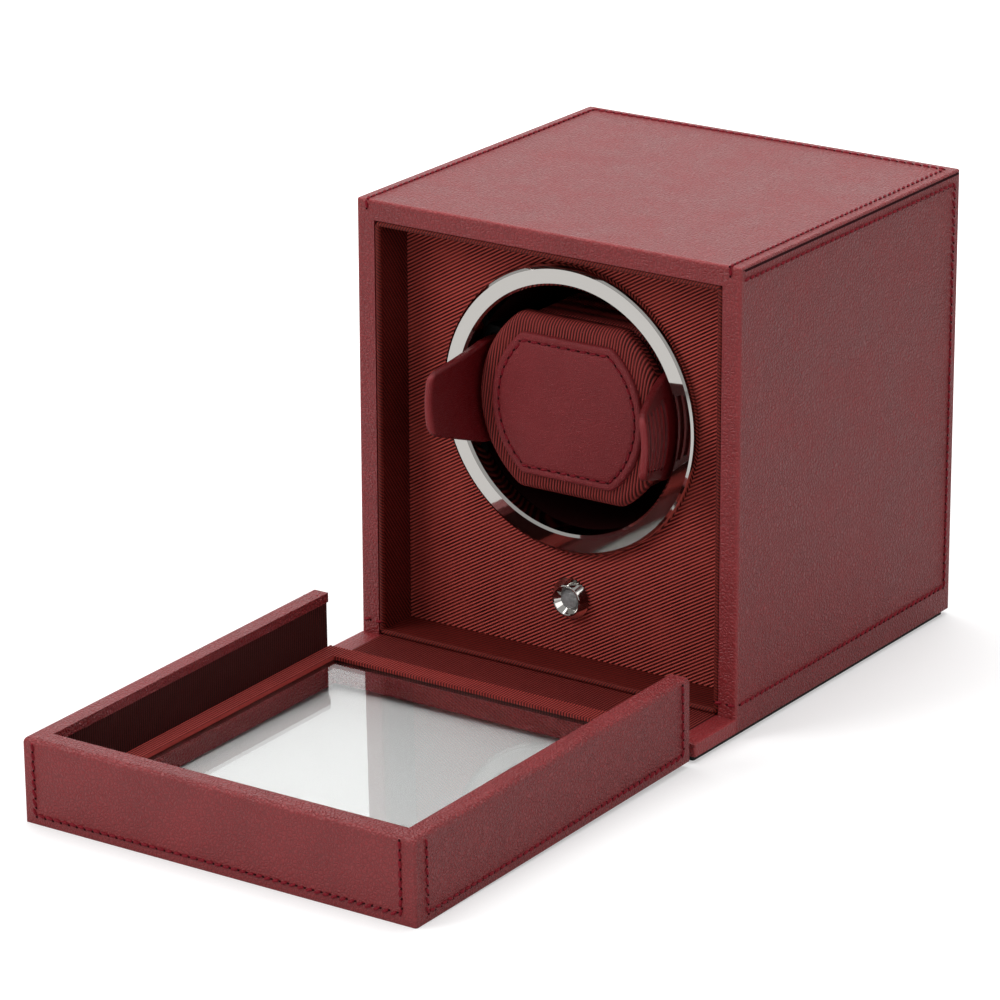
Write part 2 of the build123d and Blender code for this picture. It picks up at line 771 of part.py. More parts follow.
def cuff_parts():
    """The soft front block with its leather badge, the rear block, and the core between them."""
    z = drum_height
    block_back = front + block_front + block_thick
    shape = barrel(cuff_half_width, cuff_half_height, cuff_flat_width, cuff_corner_round)
    block = upright(shape, front + block_front, block_back, z)
    block = rounded(block, block_round, None, lambda c: c.Y < front + block_front + 0.1)
    block = rounded(block, block_back_round, None, lambda c: c.Y > block_back - 0.1)
    badge_shape = barrel(badge_half_width, badge_half_height, badge_flat_width, badge_corner_round)
    badge_front = front + block_front - badge_thick
    badge = upright(badge_shape, badge_front, front + block_front, z)
    badge = rounded(badge, badge_round, None, lambda c: c.Y < badge_front + 0.1)
    core_back = block_back + core_thick
    core_shape = barrel(cuff_half_width, cuff_half_height, cuff_flat_width, cuff_corner_round, -core_inset)
    core = upright(core_shape, block_back, core_back, z)
    rear_back = core_back + rear_thick
    rear_shape = barrel(cuff_half_width - rear_inset, cuff_half_height - rear_drop,
                        cuff_flat_width, cuff_corner_round)
    rear = upright(rear_shape, core_back, rear_back, z)
    rear = rounded(rear, rear_round, None, lambda c: c.Y < core_back + 0.1)
    slot_y = ear_slot_middle()
    for side in (-1, 1):
        reach = side * (ear_inner - ear_tongue_reach - ear_squeeze - ear_slot_gap)
        slot = span(reach, side * (cuff_half_width + 1), slot_y - ear_tongue / 2 - ear_slot_gap / 2,
                    slot_y + ear_tongue / 2 + ear_slot_gap / 2,
                    z - ear_tongue_half - ear_slot_gap, z + ear_tongue_half + ear_slot_gap)
        core -= slot
        well = side * (cuff_half_width - ear_spring_well)
        rear -= cross_rod(ear_spring_radius + spring_room, well, side * (cuff_half_width + 1),
                          front + ear_spring_depth, z)
    return {"cuff_block": block, "cuff_badge": badge, "cuff_core": core, "cuff_rear_block": rear}


def ear_slot_middle():
    return front + block_front + block_thick + core_thick / 2


def ear_side_outline():
    """The ear seen from the side, Y and Z from the drum's axis: a tongue that narrows to the front."""
    points = [
        (front + ear_back, -ear_root_half), (front + ear_bend, -ear_root_half),
        (front + ear_front, -ear_tip_half), (front + ear_front, ear_tip_half),
        (front + ear_bend, ear_root_half), (front + ear_back, ear_root_half),
    ]
    outline = make_face(Polyline(*points, close=True))
    tips = ShapeList([v for v in outline.vertices() if v.X < front + ear_front + 1])
    return fillet(tips, ear_corner)


def ear_curve(offset):
    """The ear's line, as radius and place on the drum's axis: straight, then sweeping out to its tip."""
    bend = front + ear_bend
    tip = front + ear_front
    root = Line((ear_inner + offset, front + ear_back), (ear_inner + offset, bend))
    lean = 2 * math.atan2(ear_flare, ear_bend - ear_front)
    end = (ear_inner + ear_flare + offset * math.cos(lean), tip - offset * math.sin(lean))
    sweep_out = TangentArc(root @ 1, end, tangent=root % 1)
    return root, sweep_out


def right_ear():
    """One ear: a shell turned about the drum's axis, cut to its outline from the side."""
    inner_line, inner_arc = ear_curve(0)
    outer_line, outer_arc = ear_curve(ear_thick)
    tip_edge = Line(inner_arc @ 1, outer_arc @ 1)
    root_edge = Line(inner_line @ 0, outer_line @ 0)
    plan = make_face(Curve() + [inner_line, inner_arc, tip_edge, outer_arc, outer_line, root_edge])
    side_plane = Plane(origin=(0, 0, 0), x_dir=(0, 1, 0), z_dir=(1, 0, 0))
    side = extrude(side_plane * ear_side_outline(), 3 * ear_inner)
    plate = revolve(plan, Axis.Y) & side
    middle_line = ear_inner + ear_thick / 2
    outer_edges = [e for e in plate.edges() if math.hypot(e.center().X, e.center().Z) > middle_line
                   and abs(e.center().Z) > ear_tip_half / 2 and e.center().Y < front + ear_bend - 1]
    plate = fillet(ShapeList(outer_edges), ear_edge_round)
    for number in range(grip_count):
        y = front + grip_first + number * grip_pitch
        place = (y - front - ear_front) / (ear_bend - ear_front)
        radius = ear_inner + ear_thick + ear_flare * (1 - place) ** 2
        top = grip_half + grip_step * number
        groove = revolve(Pos(radius, y) * Circle(grip_radius), Axis.Y)
        plate -= groove & span(0, 2 * radius, y - 2 * grip_radius, y + 2 * grip_radius, -top, top)
    middle = ear_slot_middle()
    tongue = span(ear_inner - ear_tongue_reach, ear_inner + ear_tongue_root, middle - ear_tongue / 2,
                  middle + ear_tongue / 2, -ear_tongue_half, ear_tongue_half)
    return Pos(0, 0, drum_height) * (plate + tongue)


def ear_spring():
    """The small coil that pushes an ear out, in its well in the rear block."""
    start = cuff_half_width - ear_spring_well
    spring = coil(ear_spring_radius, ear_spring_wire, ear_inner - start, ear_spring_turns)
    return Pos(start, front + ear_spring_depth, drum_height) * Rot(0, 90, 0) * spring


def door_block(inset, low, high):
    """A level block of the door's outline, drawn in by an inset."""
    return span(inset - half_width, half_width - inset, door_far + inset, door_end - inset, low, high)


def door_tray(layer):
    """The room inside the three door walls, which is open towards the hinge."""
    half = inner_half + layer
    return span(-half, half, door_far + wall - layer, door_end + 1, door_plate_top, door_wall_top + 1)


def window_cut(grow, low, high):
    return span(-window_half - grow, window_half + grow, window_far - grow, window_near + grow, low, high)


def door_magnet_places():
    return [(x, hinge_y - (magnet_line() - hinge_height)) for x in (-magnet_reach, magnet_reach)]


def door_parts():
    """The wooden tray of the door, its leather, its glass, its twill frame and its wall linings."""
    outer = door_block(0, pad_height, door_wall_top)
    outer = rounded(outer, corner_round, Axis.Z, lambda c: c.Y < door_far + 1)
    outer = rounded(outer, door_top_round, None,
                    lambda c: c.Z > door_wall_top - 0.1 and c.Y < door_end - 1)
    core = door_block(leather, board_low, door_wall_top - leather) - door_tray(door_inner_layer)
    core -= window_cut(door_window_step + leather, 0, door_plate_top + 1)
    pocket = window_cut(glass_lap + door_window_step, glass_seat, door_plate_top + 1)
    core -= pocket
    half = hinge_length / 2 + leaf_end_gap
    leaf_room = span(-half, half, door_end - leaf_reach - leaf_pocket, door_end + 1,
                     board_top - leaf_pocket, board_top + leaf_thick + leaf_pocket)
    core -= leaf_room
    skin = outer - core - door_tray(0) - window_cut(door_window_step, 0, glass_seat) - pocket - leaf_room
    lining_room = span(-inner_half - door_inner_layer, inner_half + door_inner_layer,
                       door_far + wall - door_inner_layer, door_end + 1, door_plate_top, lining_top)
    skin -= lining_room
    magnets = []
    for x, y in door_magnet_places():
        top = door_wall_top - leather
        deep = magnet_thick + magnet_gap
        core -= Pos(x, y, top - deep / 2) * Cylinder(magnet_radius + magnet_gap, deep)
        magnets.append(Pos(x, y, top - deep / 2) * Cylinder(magnet_radius, magnet_thick))
    pane_low = glass_seat + glass_bed
    pane = window_cut(glass_lap + door_window_step - glass_gap, pane_low, pane_low + glass_thick)
    frame_far = door_far + wall + frame_gap
    frame_sheet = span(-frame_half, frame_half, frame_far, door_end, door_plate_top, frame_top)
    frame = frame_sheet - window_cut(0, 0, door_wall_top)
    frame = rounded(frame, frame_edge_round, None,
                    lambda c: c.Z > frame_top - 0.1 and abs(c.X) < window_half + 0.1
                    and window_far - 0.1 < c.Y < window_near + 0.1)
    low, high = door_plate_top, lining_top
    edge_y = door_end - leather
    far_y = door_far + wall
    side = span(inner_half, inner_half + door_inner_layer, far_y, edge_y, low, high)
    reach = inner_half + door_inner_layer
    far = span(-reach, reach, far_y - door_inner_layer, far_y, low, high)
    return {
        "door_core": core,
        "door_leather": skin,
        "door_glass": pane,
        "door_frame_twill": frame,
        "door_lining_right": side,
        "door_lining_left": mirror(side, Plane.YZ),
        "door_lining_far": far,
        "door_magnets": grouped(magnets),
    }


def hinge_parts():
    """A concealed piano hinge: two leaves with alternate knuckles, on one long pin."""
    pitch = hinge_length / knuckle_count
    start = -hinge_length / 2
    bore = cross_rod(pin_radius + pin_fit, start - 1, -start + 1, hinge_y, hinge_height)
    leaf_z0, leaf_z1 = board_top, board_top + leaf_thick
    fixed = span(start, -start, front - flap_length, front - flap_length + leaf_reach, leaf_z0, leaf_z1)
    moving = span(start, -start, door_end - leaf_reach, door_end, leaf_z0, leaf_z1)
    for number in range(knuckle_count):
        x0 = start + number * pitch + knuckle_gap / 2
        x1 = start + (number + 1) * pitch - knuckle_gap / 2
        barrel = cross_rod(knuckle_radius, x0, x1, hinge_y, hinge_height)
        if number % 2 == 0:
            fixed += barrel + span(x0, x1, hinge_y, front - flap_length + 0.1, leaf_z0, leaf_z1)
        else:
            moving += barrel + span(x0, x1, door_end - 0.1, hinge_y, leaf_z0, leaf_z1)
    pin = cross_rod(pin_radius, start, -start, hinge_y, hinge_height)
    cloth = span(-inlay_half, inlay_half, door_end + 0.25, front - flap_length - 0.05,
                 inlay_top - 2 * hinge_cloth, inlay_top - hinge_cloth)
    return {"hinge_leaf_fixed": fixed - bore, "hinge_leaf_door": moving - bore, "hinge_pin": pin,
            "hinge_twill": cloth}


def settle_angle():
    """How far the open door sinks about its hinge before its free edge meets the floor."""
    drop = hinge_height - pad_height
    reach = math.hypot(door_length, drop)
    return math.degrees(math.asin((hinge_height - door_floor_gap) / reach) - math.atan2(drop, door_length))


def let_down(solid):
    """Turns a part of the level door down about the hinge."""
    turn = Pos(0, hinge_y, hinge_height) * Rot(settle_angle(), 0, 0) * Pos(0, -hinge_y, -hinge_height)
    return turn * solid


def all_parts():
    parts = {"case_carcass": carcass(), "case_magnets": case_magnets(), "bezel_ring": bezel_ring()}
    for group in (leather_panels, base_parts, recess_parts, drum_parts, drive_parts, bearing_parts,
                  electronics, button_parts, rear_parts, cuff_parts):
        parts.update(group())
    ear = right_ear()
    spring = ear_spring()
    parts["ear_right"] = ear
    parts["ear_left"] = mirror(ear, Plane.YZ)
    parts["ear_spring_right"] = spring
    parts["ear_spring_left"] = mirror(spring, Plane.YZ)
    for name, solid in door_parts().items():
        parts[name] = let_down(solid)
    hinge = hinge_parts()
    hinge["hinge_leaf_door"] = let_down(hinge["hinge_leaf_door"])
    parts.update(hinge)
    return parts


def main():
    os.makedirs("parts", exist_ok=True)
    for name, solid in all_parts().items():
        export_step(solid, f"parts/{name}.step")


if __name__ == "__main__":
    main()
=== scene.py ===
# %% [markdown]
# # A watch winder in burgundy leather
# The real object is a small leather cube whose glass door folds down in front of it. A ribbed silk
# twill lines the box, a polished ring frames a turning drum, and a cushioned cuff in the drum holds a
# watch. The hard parts come ready made from the CAD frame. This lesson dresses them: it spins the
# threads, ribs the cloth, sews the leather, pads the cuff and then lights the lot like a product shot.

# %% Load the frame
import json
import math

import bmesh
import bpy
import numpy as np
from mathutils import Matrix, Vector

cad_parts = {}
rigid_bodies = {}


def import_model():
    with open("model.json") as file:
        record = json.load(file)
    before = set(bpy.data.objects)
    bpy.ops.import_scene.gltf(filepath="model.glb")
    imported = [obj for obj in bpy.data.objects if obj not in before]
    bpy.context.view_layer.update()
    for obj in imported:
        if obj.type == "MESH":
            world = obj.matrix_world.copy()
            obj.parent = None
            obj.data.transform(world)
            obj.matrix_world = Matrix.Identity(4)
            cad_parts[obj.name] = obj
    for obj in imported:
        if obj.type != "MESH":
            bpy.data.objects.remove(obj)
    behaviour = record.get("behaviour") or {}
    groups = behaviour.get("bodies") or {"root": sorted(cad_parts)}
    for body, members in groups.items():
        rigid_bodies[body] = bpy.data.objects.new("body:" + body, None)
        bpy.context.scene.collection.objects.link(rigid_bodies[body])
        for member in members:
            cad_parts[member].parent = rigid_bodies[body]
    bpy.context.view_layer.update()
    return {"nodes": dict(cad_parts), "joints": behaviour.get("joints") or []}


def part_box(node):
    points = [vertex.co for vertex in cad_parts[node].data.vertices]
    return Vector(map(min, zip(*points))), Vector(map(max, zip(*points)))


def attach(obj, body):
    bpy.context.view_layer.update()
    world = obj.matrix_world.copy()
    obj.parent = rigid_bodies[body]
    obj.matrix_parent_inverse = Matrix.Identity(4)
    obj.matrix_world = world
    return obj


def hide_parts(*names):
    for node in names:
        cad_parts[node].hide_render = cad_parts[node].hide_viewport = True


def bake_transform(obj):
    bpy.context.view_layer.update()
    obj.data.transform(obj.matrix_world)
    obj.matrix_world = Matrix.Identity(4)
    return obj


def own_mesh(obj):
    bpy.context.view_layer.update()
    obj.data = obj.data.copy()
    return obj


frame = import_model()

MM = 0.001
RIB_PITCH = 1.03 * MM
STITCH_PITCH = 2.9 * MM
BADGE_PITCH = 3.6 * MM
scene = bpy.context.scene

# %% [markdown]
# ## Measuring the frame
# Every place below comes from the frame's own boxes, so a stitch or a rib stays on what carries it.
# The door lies a little below level, because it hangs from a hinge and rests on its free edge. The
# hinge's range says by how much, so the same small turn puts new pieces into the door's own plane.

# %% Read sizes from the frame
case_low, case_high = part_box("top_leather")
foot_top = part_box("base_leather")[1].z
ring_low, ring_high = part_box("bezel_ring")
front_y = case_low.y
drum_z = (ring_low.z + ring_high.z) / 2
hinge = next(j for j in frame["joints"] if j["name"] == "door_hinge")
hinge_point = Vector(hinge["pos_m"])
door_sink = math.radians(hinge["range_deg"][1] - 90)
door_turn = (Matrix.Translation(hinge_point) @ Matrix.Rotation(door_sink, 4, "X")
             @ Matrix.Translation(-hinge_point))
print("drum axis height", round(drum_z, 4))
print("door sinks by", round(math.degrees(door_sink), 3), "degrees")


# %% The door's boxes
def level_box(node):
    """The box of a door node, as it would be if the door lay level."""
    level = door_turn.inverted()
    points = [level @ v.co for v in frame["nodes"][node].data.vertices]
    low = Vector([min(p[i] for p in points) for i in range(3)])
    high = Vector([max(p[i] for p in points) for i in range(3)])
    return low, high


door_low, door_high = level_box("door_leather")
print("level door", tuple(round(c, 4) for c in door_low), tuple(round(c, 4) for c in door_high))

# %% [markdown]
# ## Shader groups
# Leather and twill are each used in several shades, so their patterns are node groups. A group takes
# a position and gives back a height and a mask, and each material then chooses its own colours and
# depth. The leather's pebbles are Voronoi cells with a noise between them, because real grain is
# cells of uneven size; the twill's ribs are a plain cosine across the cloth, because a loom is regular.


# %% Helpers for node trees
def set_inputs(tree, node, inputs):
    """Sets inputs by name or number: a socket given is linked, and anything else is a plain value."""
    for label, value in inputs.items():
        if hasattr(value, "is_output"):
            tree.links.new(value, node.inputs[label])
        else:
            node.inputs[label].default_value = value
    return node


def add_node(tree, kind, inputs=None, **settings):
    """A node with its settings and its inputs."""
    node = tree.nodes.new(kind)
    for label, value in settings.items():
        setattr(node, label, value)
    return set_inputs(tree, node, inputs or {})


def new_group(name, kind, inputs, outputs):
    """A node group with named sockets; returns the group, the sockets it is given and its output node."""
    group = bpy.data.node_groups.new(name, kind)
    for way, sockets in (("INPUT", inputs), ("OUTPUT", outputs)):
        for label, sort, *value in sockets:
            socket = group.interface.new_socket(name=label, in_out=way, socket_type="NodeSocket" + sort)
            if value:
                socket.default_value = value[0]
    given = add_node(group, "NodeGroupInput")
    return group, given.outputs, add_node(group, "NodeGroupOutput")


def math_node(tree, operation, *values, clamp=False):
    """The result of a Math node; each value is a number or a socket."""
    inputs = dict(enumerate(values))
    node = add_node(tree, "ShaderNodeMath", inputs, operation=operation, use_clamp=clamp)
    return node.outputs[0]


def product_node(tree, *values):
    """Two or more values multiplied together."""
    result = values[0]
    for value in values[1:]:
        result = math_node(tree, "MULTIPLY", result, value)
    return result


def vector_node(tree, operation, *values, output=0):
    """The result of a Vector Math node."""
    inputs = dict(enumerate(values))
    return add_node(tree, "ShaderNodeVectorMath", inputs, operation=operation).outputs[output]


def split_node(tree, vector):
    """The X, Y and Z of a vector."""
    return add_node(tree, "ShaderNodeSeparateXYZ", {0: vector}).outputs


def ramp_node(tree, value, low, high, start=0.0, end=1.0):
    """Maps a value smoothly from one range to another."""
    inputs = {"Value": value, "From Min": low, "From Max": high, "To Min": start, "To Max": end}
    node = add_node(tree, "ShaderNodeMapRange", inputs, interpolation_type="SMOOTHSTEP")
    return node.outputs["Result"]


def noise_node(tree, vector, scale, detail=2.0, rough=0.5, output="Fac"):
    """The value or the colour of a noise, whose scale is in cycles for each metre."""
    inputs = {"Vector": vector, "Scale": scale, "Detail": detail, "Roughness": rough}
    return add_node(tree, "ShaderNodeTexNoise", inputs).outputs[output]


# %% Leather grain group
def build_leather_grain():
    """Pebbles with creases between them, bent by a noise so that no row of them is straight."""
    group, given, result = new_group(
        "leather_grain", "ShaderNodeTree", [("Vector", "Vector"), ("Grain", "Float", 1100.0)],
        [("Height", "Float"), ("Crease", "Float"), ("Cloud", "Float")])
    vector = given["Vector"]
    bend_scale, pore_scale, cloud_scale = 420.0, 5200.0, 60.0
    pebble_width, crease_width, pore_share = 0.32, 0.12, 0.25
    bend = (1.1 * MM, 1.1 * MM, 1.1 * MM)
    warp = noise_node(group, vector, bend_scale, 1.0, output="Color")
    bent = vector_node(group, "MULTIPLY_ADD", warp, bend, vector)
    cells = add_node(group, "ShaderNodeTexVoronoi", {"Vector": bent, "Scale": given["Grain"]},
                     feature="DISTANCE_TO_EDGE")
    gap = cells.outputs["Distance"]
    pebble = ramp_node(group, gap, 0.0, pebble_width)
    pores = noise_node(group, vector, pore_scale)
    set_inputs(group, result, {
        "Height": math_node(group, "MULTIPLY_ADD", pores, pore_share, pebble),
        "Crease": ramp_node(group, gap, 0.0, crease_width, 1.0, 0.0),
        "Cloud": noise_node(group, vector, cloud_scale, 3.0, 0.55)})
    return group


leather_grain = build_leather_grain()
print("leather grain:", len(leather_grain.nodes), "nodes")


# %% Twill group
def build_twill_ribs():
    """Ribs across the cloth, and the slanted turns of the thread that each rib is spun from."""
    group, given, result = new_group(
        "twill_ribs", "ShaderNodeTree",
        [("Vector", "Vector"), ("Across", "Vector", (1, 0, 0)), ("Along", "Vector", (0, 0, 1)),
         ("Pitch", "Float", RIB_PITCH)],
        [("Rib", "Float"), ("Thread", "Float"), ("Cloud", "Float")])
    turns_across, turns_along, cloud_scale = 2.2, 5.0, 90.0
    vector = given["Vector"]
    across, along = [
        math_node(group, "DIVIDE", vector_node(group, "DOT_PRODUCT", vector, given[label], output="Value"),
                  given["Pitch"])
        for label in ("Across", "Along")]
    rib = math_node(group, "ABSOLUTE", math_node(group, "COSINE", product_node(group, across, math.pi)))
    slant = math_node(group, "MULTIPLY_ADD", across, turns_across,
                      product_node(group, along, turns_along))
    twist = math_node(group, "SINE", product_node(group, slant, 2 * math.pi))
    set_inputs(group, result, {
        "Rib": rib, "Thread": math_node(group, "MULTIPLY_ADD", twist, 0.5, 0.5),
        "Cloud": noise_node(group, vector, cloud_scale, 3.0, 0.6)})
    return group


twill_ribs = build_twill_ribs()
print("twill ribs:", len(twill_ribs.nodes), "nodes")


# %% Edge wear group
def build_edge_glow():
    """A mask that is 1 along the edges of a box and 0 inside its faces."""
    group, given, result = new_group(
        "edge_glow", "ShaderNodeTree",
        [("Vector", "Vector"), ("Centre", "Vector", (0, 0, 0)), ("Half", "Vector", (1, 1, 1)),
         ("Width", "Float", 1.0 * MM)],
        [("Edge", "Float")])
    away = vector_node(group, "ABSOLUTE", vector_node(group, "SUBTRACT", given["Vector"], given["Centre"]))
    room = split_node(group, vector_node(group, "SUBTRACT", given["Half"], away))
    shares = [math_node(group, "DIVIDE", axis, given["Width"], clamp=True) for axis in room]
    near = [math_node(group, "SUBTRACT", 1.0, share) for share in shares]
    pairs = [product_node(group, near[i], near[(i + 1) % 3]) for i in range(3)]
    edge = math_node(group, "MAXIMUM", math_node(group, "MAXIMUM", pairs[0], pairs[1]), pairs[2])
    set_inputs(group, result, {"Edge": edge})
    return group


edge_glow = build_edge_glow()
print("edge glow:", len(edge_glow.nodes), "nodes")

# %% [markdown]
# ## Materials
# A Principled shader is enough for all of them. What changes is where its colour, roughness and
# normal come from. Colours are written as they look on a screen and turned into the linear values
# that Blender works with, which is easier to check against a real piece of leather.


# %% Colour and material helpers
def screen(red, green, blue):
    """A colour as 0 to 255 screen values, made linear."""
    shares = [value / 255 for value in (red, green, blue)]
    return tuple(s / 12.92 if s <= 0.04045 else ((s + 0.055) / 1.055) ** 2.4 for s in shares) + (1.0,)


def shade(colour, factor):
    """A colour made darker or lighter."""
    return tuple(min(1.0, c * factor) for c in colour[:3]) + (1.0,)


def new_material(name, colour, rough, inputs=None):
    """A material, its tree and its shader, with plain values to start from."""
    material = bpy.data.materials.new(name)
    material.use_nodes = True
    tree = material.node_tree
    shader = tree.nodes["Principled BSDF"]
    set_inputs(tree, shader, {"Base Color": colour, "Roughness": rough, **(inputs or {})})
    return material, tree, shader


def place(tree, kind="Object"):
    """Where a point is, on the object or on its flat cloth."""
    return add_node(tree, "ShaderNodeTexCoord").outputs[kind]


def blend_colours(tree, share, dark, light):
    """A mix of two colours by a mask; the numbers 6, 7 and 2 are the Mix node's colour sockets."""
    return add_node(tree, "ShaderNodeMix", {"Factor": share, 6: dark, 7: light}, data_type="RGBA").outputs[2]


def bump(tree, shader, height, distance, strength=1.0):
    """Raises a fine grain by a height."""
    node = add_node(tree, "ShaderNodeBump", {"Strength": strength, "Distance": distance, "Height": height})
    set_inputs(tree, shader, {"Normal": node.outputs["Normal"]})


burgundy_shades = (screen(126, 36, 39), screen(136, 42, 45))
# The door linings' twill tones, darkened to the shade that they sit in: painted shade.
lining_painted_shades = (screen(14, 1, 1), screen(76, 21, 17))
print("burgundy when linear:", [round(c, 3) for c in burgundy_shades[0][:3]])


# %% Leather
def leather_material(name, dark, light, rough=0.41, grain=820.0, depth=0.4 * MM, shine=0.42, box=None,
                     taut_y=None):
    """Pebbled leather with painted shade in its creases; a box given gets a painted highlight along its
    edges, and a front face given is pulled smooth.
    """
    crease_share, crease_shade = 0.55, 0.55
    edge_highlight_share, edge_highlight_shade, edge_highlight_width = 0.22, 1.7, 1.6 * MM
    taut_from, taut_to, taut_strength = 0.3 * MM, 1.2 * MM, 0.5
    material, tree, shader = new_material(name, light, rough, {"Specular IOR Level": shine})
    where = place(tree)
    pattern = add_node(tree, "ShaderNodeGroup", {"Grain": grain, "Vector": where},
                       node_tree=leather_grain).outputs
    colour = blend_colours(tree, ramp_node(tree, pattern["Cloud"], 0.25, 0.75), dark, light)
    # Darker in the creases between the pebbles: painted shade.
    crease_shade_mask = product_node(tree, pattern["Crease"], crease_share)
    colour = blend_colours(tree, crease_shade_mask, colour, shade(dark, crease_shade))
    # Lighter along the box's edges: a painted highlight on its rims.
    if box:
        low, high = box
        inputs = {"Centre": (low + high) / 2, "Half": (high - low) / 2, "Width": edge_highlight_width,
                  "Vector": where}
        edge = add_node(tree, "ShaderNodeGroup", inputs, node_tree=edge_glow).outputs["Edge"]
        edge_highlight = product_node(tree, edge, edge_highlight_share)
        colour = blend_colours(tree, edge_highlight, colour, shade(light, edge_highlight_shade))
    gloss = ramp_node(tree, pattern["Cloud"], 0.2, 0.8, rough - 0.05, rough + 0.07)
    set_inputs(tree, shader, {"Base Color": colour, "Roughness": gloss})
    strength = 1.0
    if taut_y is not None:
        y = split_node(tree, where)["Y"]
        strength = ramp_node(tree, y, taut_y + taut_from, taut_y + taut_to, taut_strength, 1.0)
    bump(tree, shader, pattern["Height"], depth, strength)
    return material


# The box whose edges get the painted highlight.
case_box = (Vector((-case_high.x, -case_high.y, 0)), case_high)
burgundy = leather_material("burgundy_leather", *burgundy_shades, box=case_box, taut_y=front_y)
door_burgundy = leather_material("door_leather_finish", *burgundy_shades,
                                 taut_y=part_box("door_leather")[0].y)
badge_leather = leather_material("badge_leather_finish", screen(124, 36, 40), screen(133, 42, 46),
                                 rough=0.48, grain=1500.0, depth=0.11 * MM, shine=0.28)
print("leathers:", burgundy.name, door_burgundy.name, badge_leather.name)


# %% The ears' leather
def ear_material():
    """Smooth leather on the ears, with painted highlights on the front edge and on the lands between the
    finger grooves, and painted shade in the grooves.
    """
    pitch, count, half_height = 2.9 * MM, 5, 9.5 * MM
    highlight_from, highlight_to, highlight_share = 0.6 * MM, 1.8 * MM, 0.7
    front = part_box("ear_right")[0].y
    first = front + 3.9 * MM
    flare_end, flare_slope, grip_radius = front + 20.3 * MM, 0.177, 36.85 * MM
    material = leather_material("ear_leather_finish", screen(92, 9, 14), screen(102, 12, 18),
                                rough=0.42, grain=1500.0, depth=0.08 * MM, shine=0.3)
    tree = material.node_tree
    shader = tree.nodes["Principled BSDF"]
    colour = shader.inputs["Base Color"].links[0].from_socket
    x, y, z = split_node(tree, place(tree))
    rise = math_node(tree, "SUBTRACT", z, drum_z)
    square = math_node(tree, "MULTIPLY_ADD", x, x, math_node(tree, "POWER", rise, 2.0))
    flare = product_node(tree, math_node(tree, "SUBTRACT", flare_end, y), flare_slope)
    middle = math_node(tree, "ADD", math_node(tree, "MAXIMUM", flare, 0.0), grip_radius)
    outside = math_node(tree, "GREATER_THAN", math_node(tree, "SQRT", square), middle)
    step = math_node(tree, "DIVIDE", math_node(tree, "SUBTRACT", y, first), pitch)
    from_middle = math_node(tree, "ABSOLUTE", math_node(tree, "SUBTRACT", step, (count - 1) / 2))
    along = ramp_node(tree, from_middle, count / 2 - 0.1, count / 2 + 0.2, 1.0, 0.0)
    level = ramp_node(tree, math_node(tree, "ABSOLUTE", rise), half_height, half_height + MM, 1.0, 0.0)
    inside = product_node(tree, outside, along, level)
    wave = math_node(tree, "ABSOLUTE", math_node(tree, "COSINE", product_node(tree, step, math.pi)))
    # Lighter on the lands and dark in the grooves: painted highlight and painted shade.
    land_highlight = product_node(tree, ramp_node(tree, wave, 0.2, 0.7, 1.0, 0.0), inside)
    groove = product_node(tree, ramp_node(tree, wave, 0.72, 0.95), inside)
    # Lighter at the front edge: a painted highlight.
    edge = ramp_node(tree, y, front + highlight_from, front + highlight_to, highlight_share, 0.0)
    # The lands' and the front edge's light tones are painted highlights; the grooves' dark tone is painted
    # shade.
    for share, tone in ((land_highlight, screen(138, 34, 38)), (groove, screen(30, 2, 5)),
                        (edge, screen(140, 44, 48))):
        colour = blend_colours(tree, share, colour, tone)
    set_inputs(tree, shader, {"Base Color": colour})
    return material


ear_leather = ear_material()
print("ear leather:", len(ear_leather.node_tree.nodes), "nodes")


# %% Twill
def twill_material(name, painted_valley_shade, crest, across=(1, 0, 0), along=(0, 1, 0), depth=0.0, shine=0.18,
                   coordinates="Object"):
    """Ribbed silk: painted shade between the ribs, with a thread's twist and a soft sheen on top of them.

    A depth is given only where the ribs aren't in the mesh.
    """
    thread_depth, thread_share, thread_shade = 0.04 * MM, 0.18, 0.6
    cloud_share, cloud_shade = 0.35, 0.72
    material, tree, shader = new_material(name, crest, 0.55, {
        "Sheen Weight": 0.2, "Sheen Roughness": 0.4, "Sheen Tint": crest, "Specular IOR Level": shine})
    inputs = {"Across": across, "Along": along, "Pitch": RIB_PITCH, "Vector": place(tree, coordinates)}
    pattern = add_node(tree, "ShaderNodeGroup", inputs, node_tree=twill_ribs).outputs
    # The valley colour is painted shade between the ribs.
    colour = blend_colours(tree, ramp_node(tree, pattern["Rib"], 0.5, 1.0), painted_valley_shade, crest)
    tone = ramp_node(tree, pattern["Cloud"], 0.3, 0.8, 0.0, cloud_share)
    colour = blend_colours(tree, tone, colour, shade(crest, cloud_shade))
    twist = product_node(tree, pattern["Thread"], thread_share)
    colour = blend_colours(tree, twist, colour, shade(crest, thread_shade))
    set_inputs(tree, shader, {"Base Color": colour})
    if depth:
        height = math_node(tree, "MULTIPLY_ADD", pattern["Thread"], thread_depth / depth, pattern["Rib"])
        bump(tree, shader, height, depth)
    else:
        bump(tree, shader, pattern["Thread"], thread_depth)
    return material


rib_lift = math.radians(30)
face_across = (-math.sin(rib_lift), 0, math.cos(rib_lift))
face_along = (math.cos(rib_lift), 0, math.sin(rib_lift))
# Each panel's twill is one silk with its own valley and crest colours, set to how lit the panel looks:
# painted light and shade. The faceplate's bright crest is a painted highlight.
face_twill = twill_material("faceplate_twill_finish", screen(12, 0, 0), screen(204, 84, 75),
                            face_across, face_along)
floor_twill = twill_material("flap_twill_finish", screen(30, 2, 3), screen(136, 44, 39))
bar_twill = twill_material("door_bar_twill_finish", screen(30, 2, 3), screen(172, 62, 56))
door_along = tuple(Matrix.Rotation(door_sink, 3, "X") @ Vector((0, 1, 0)))
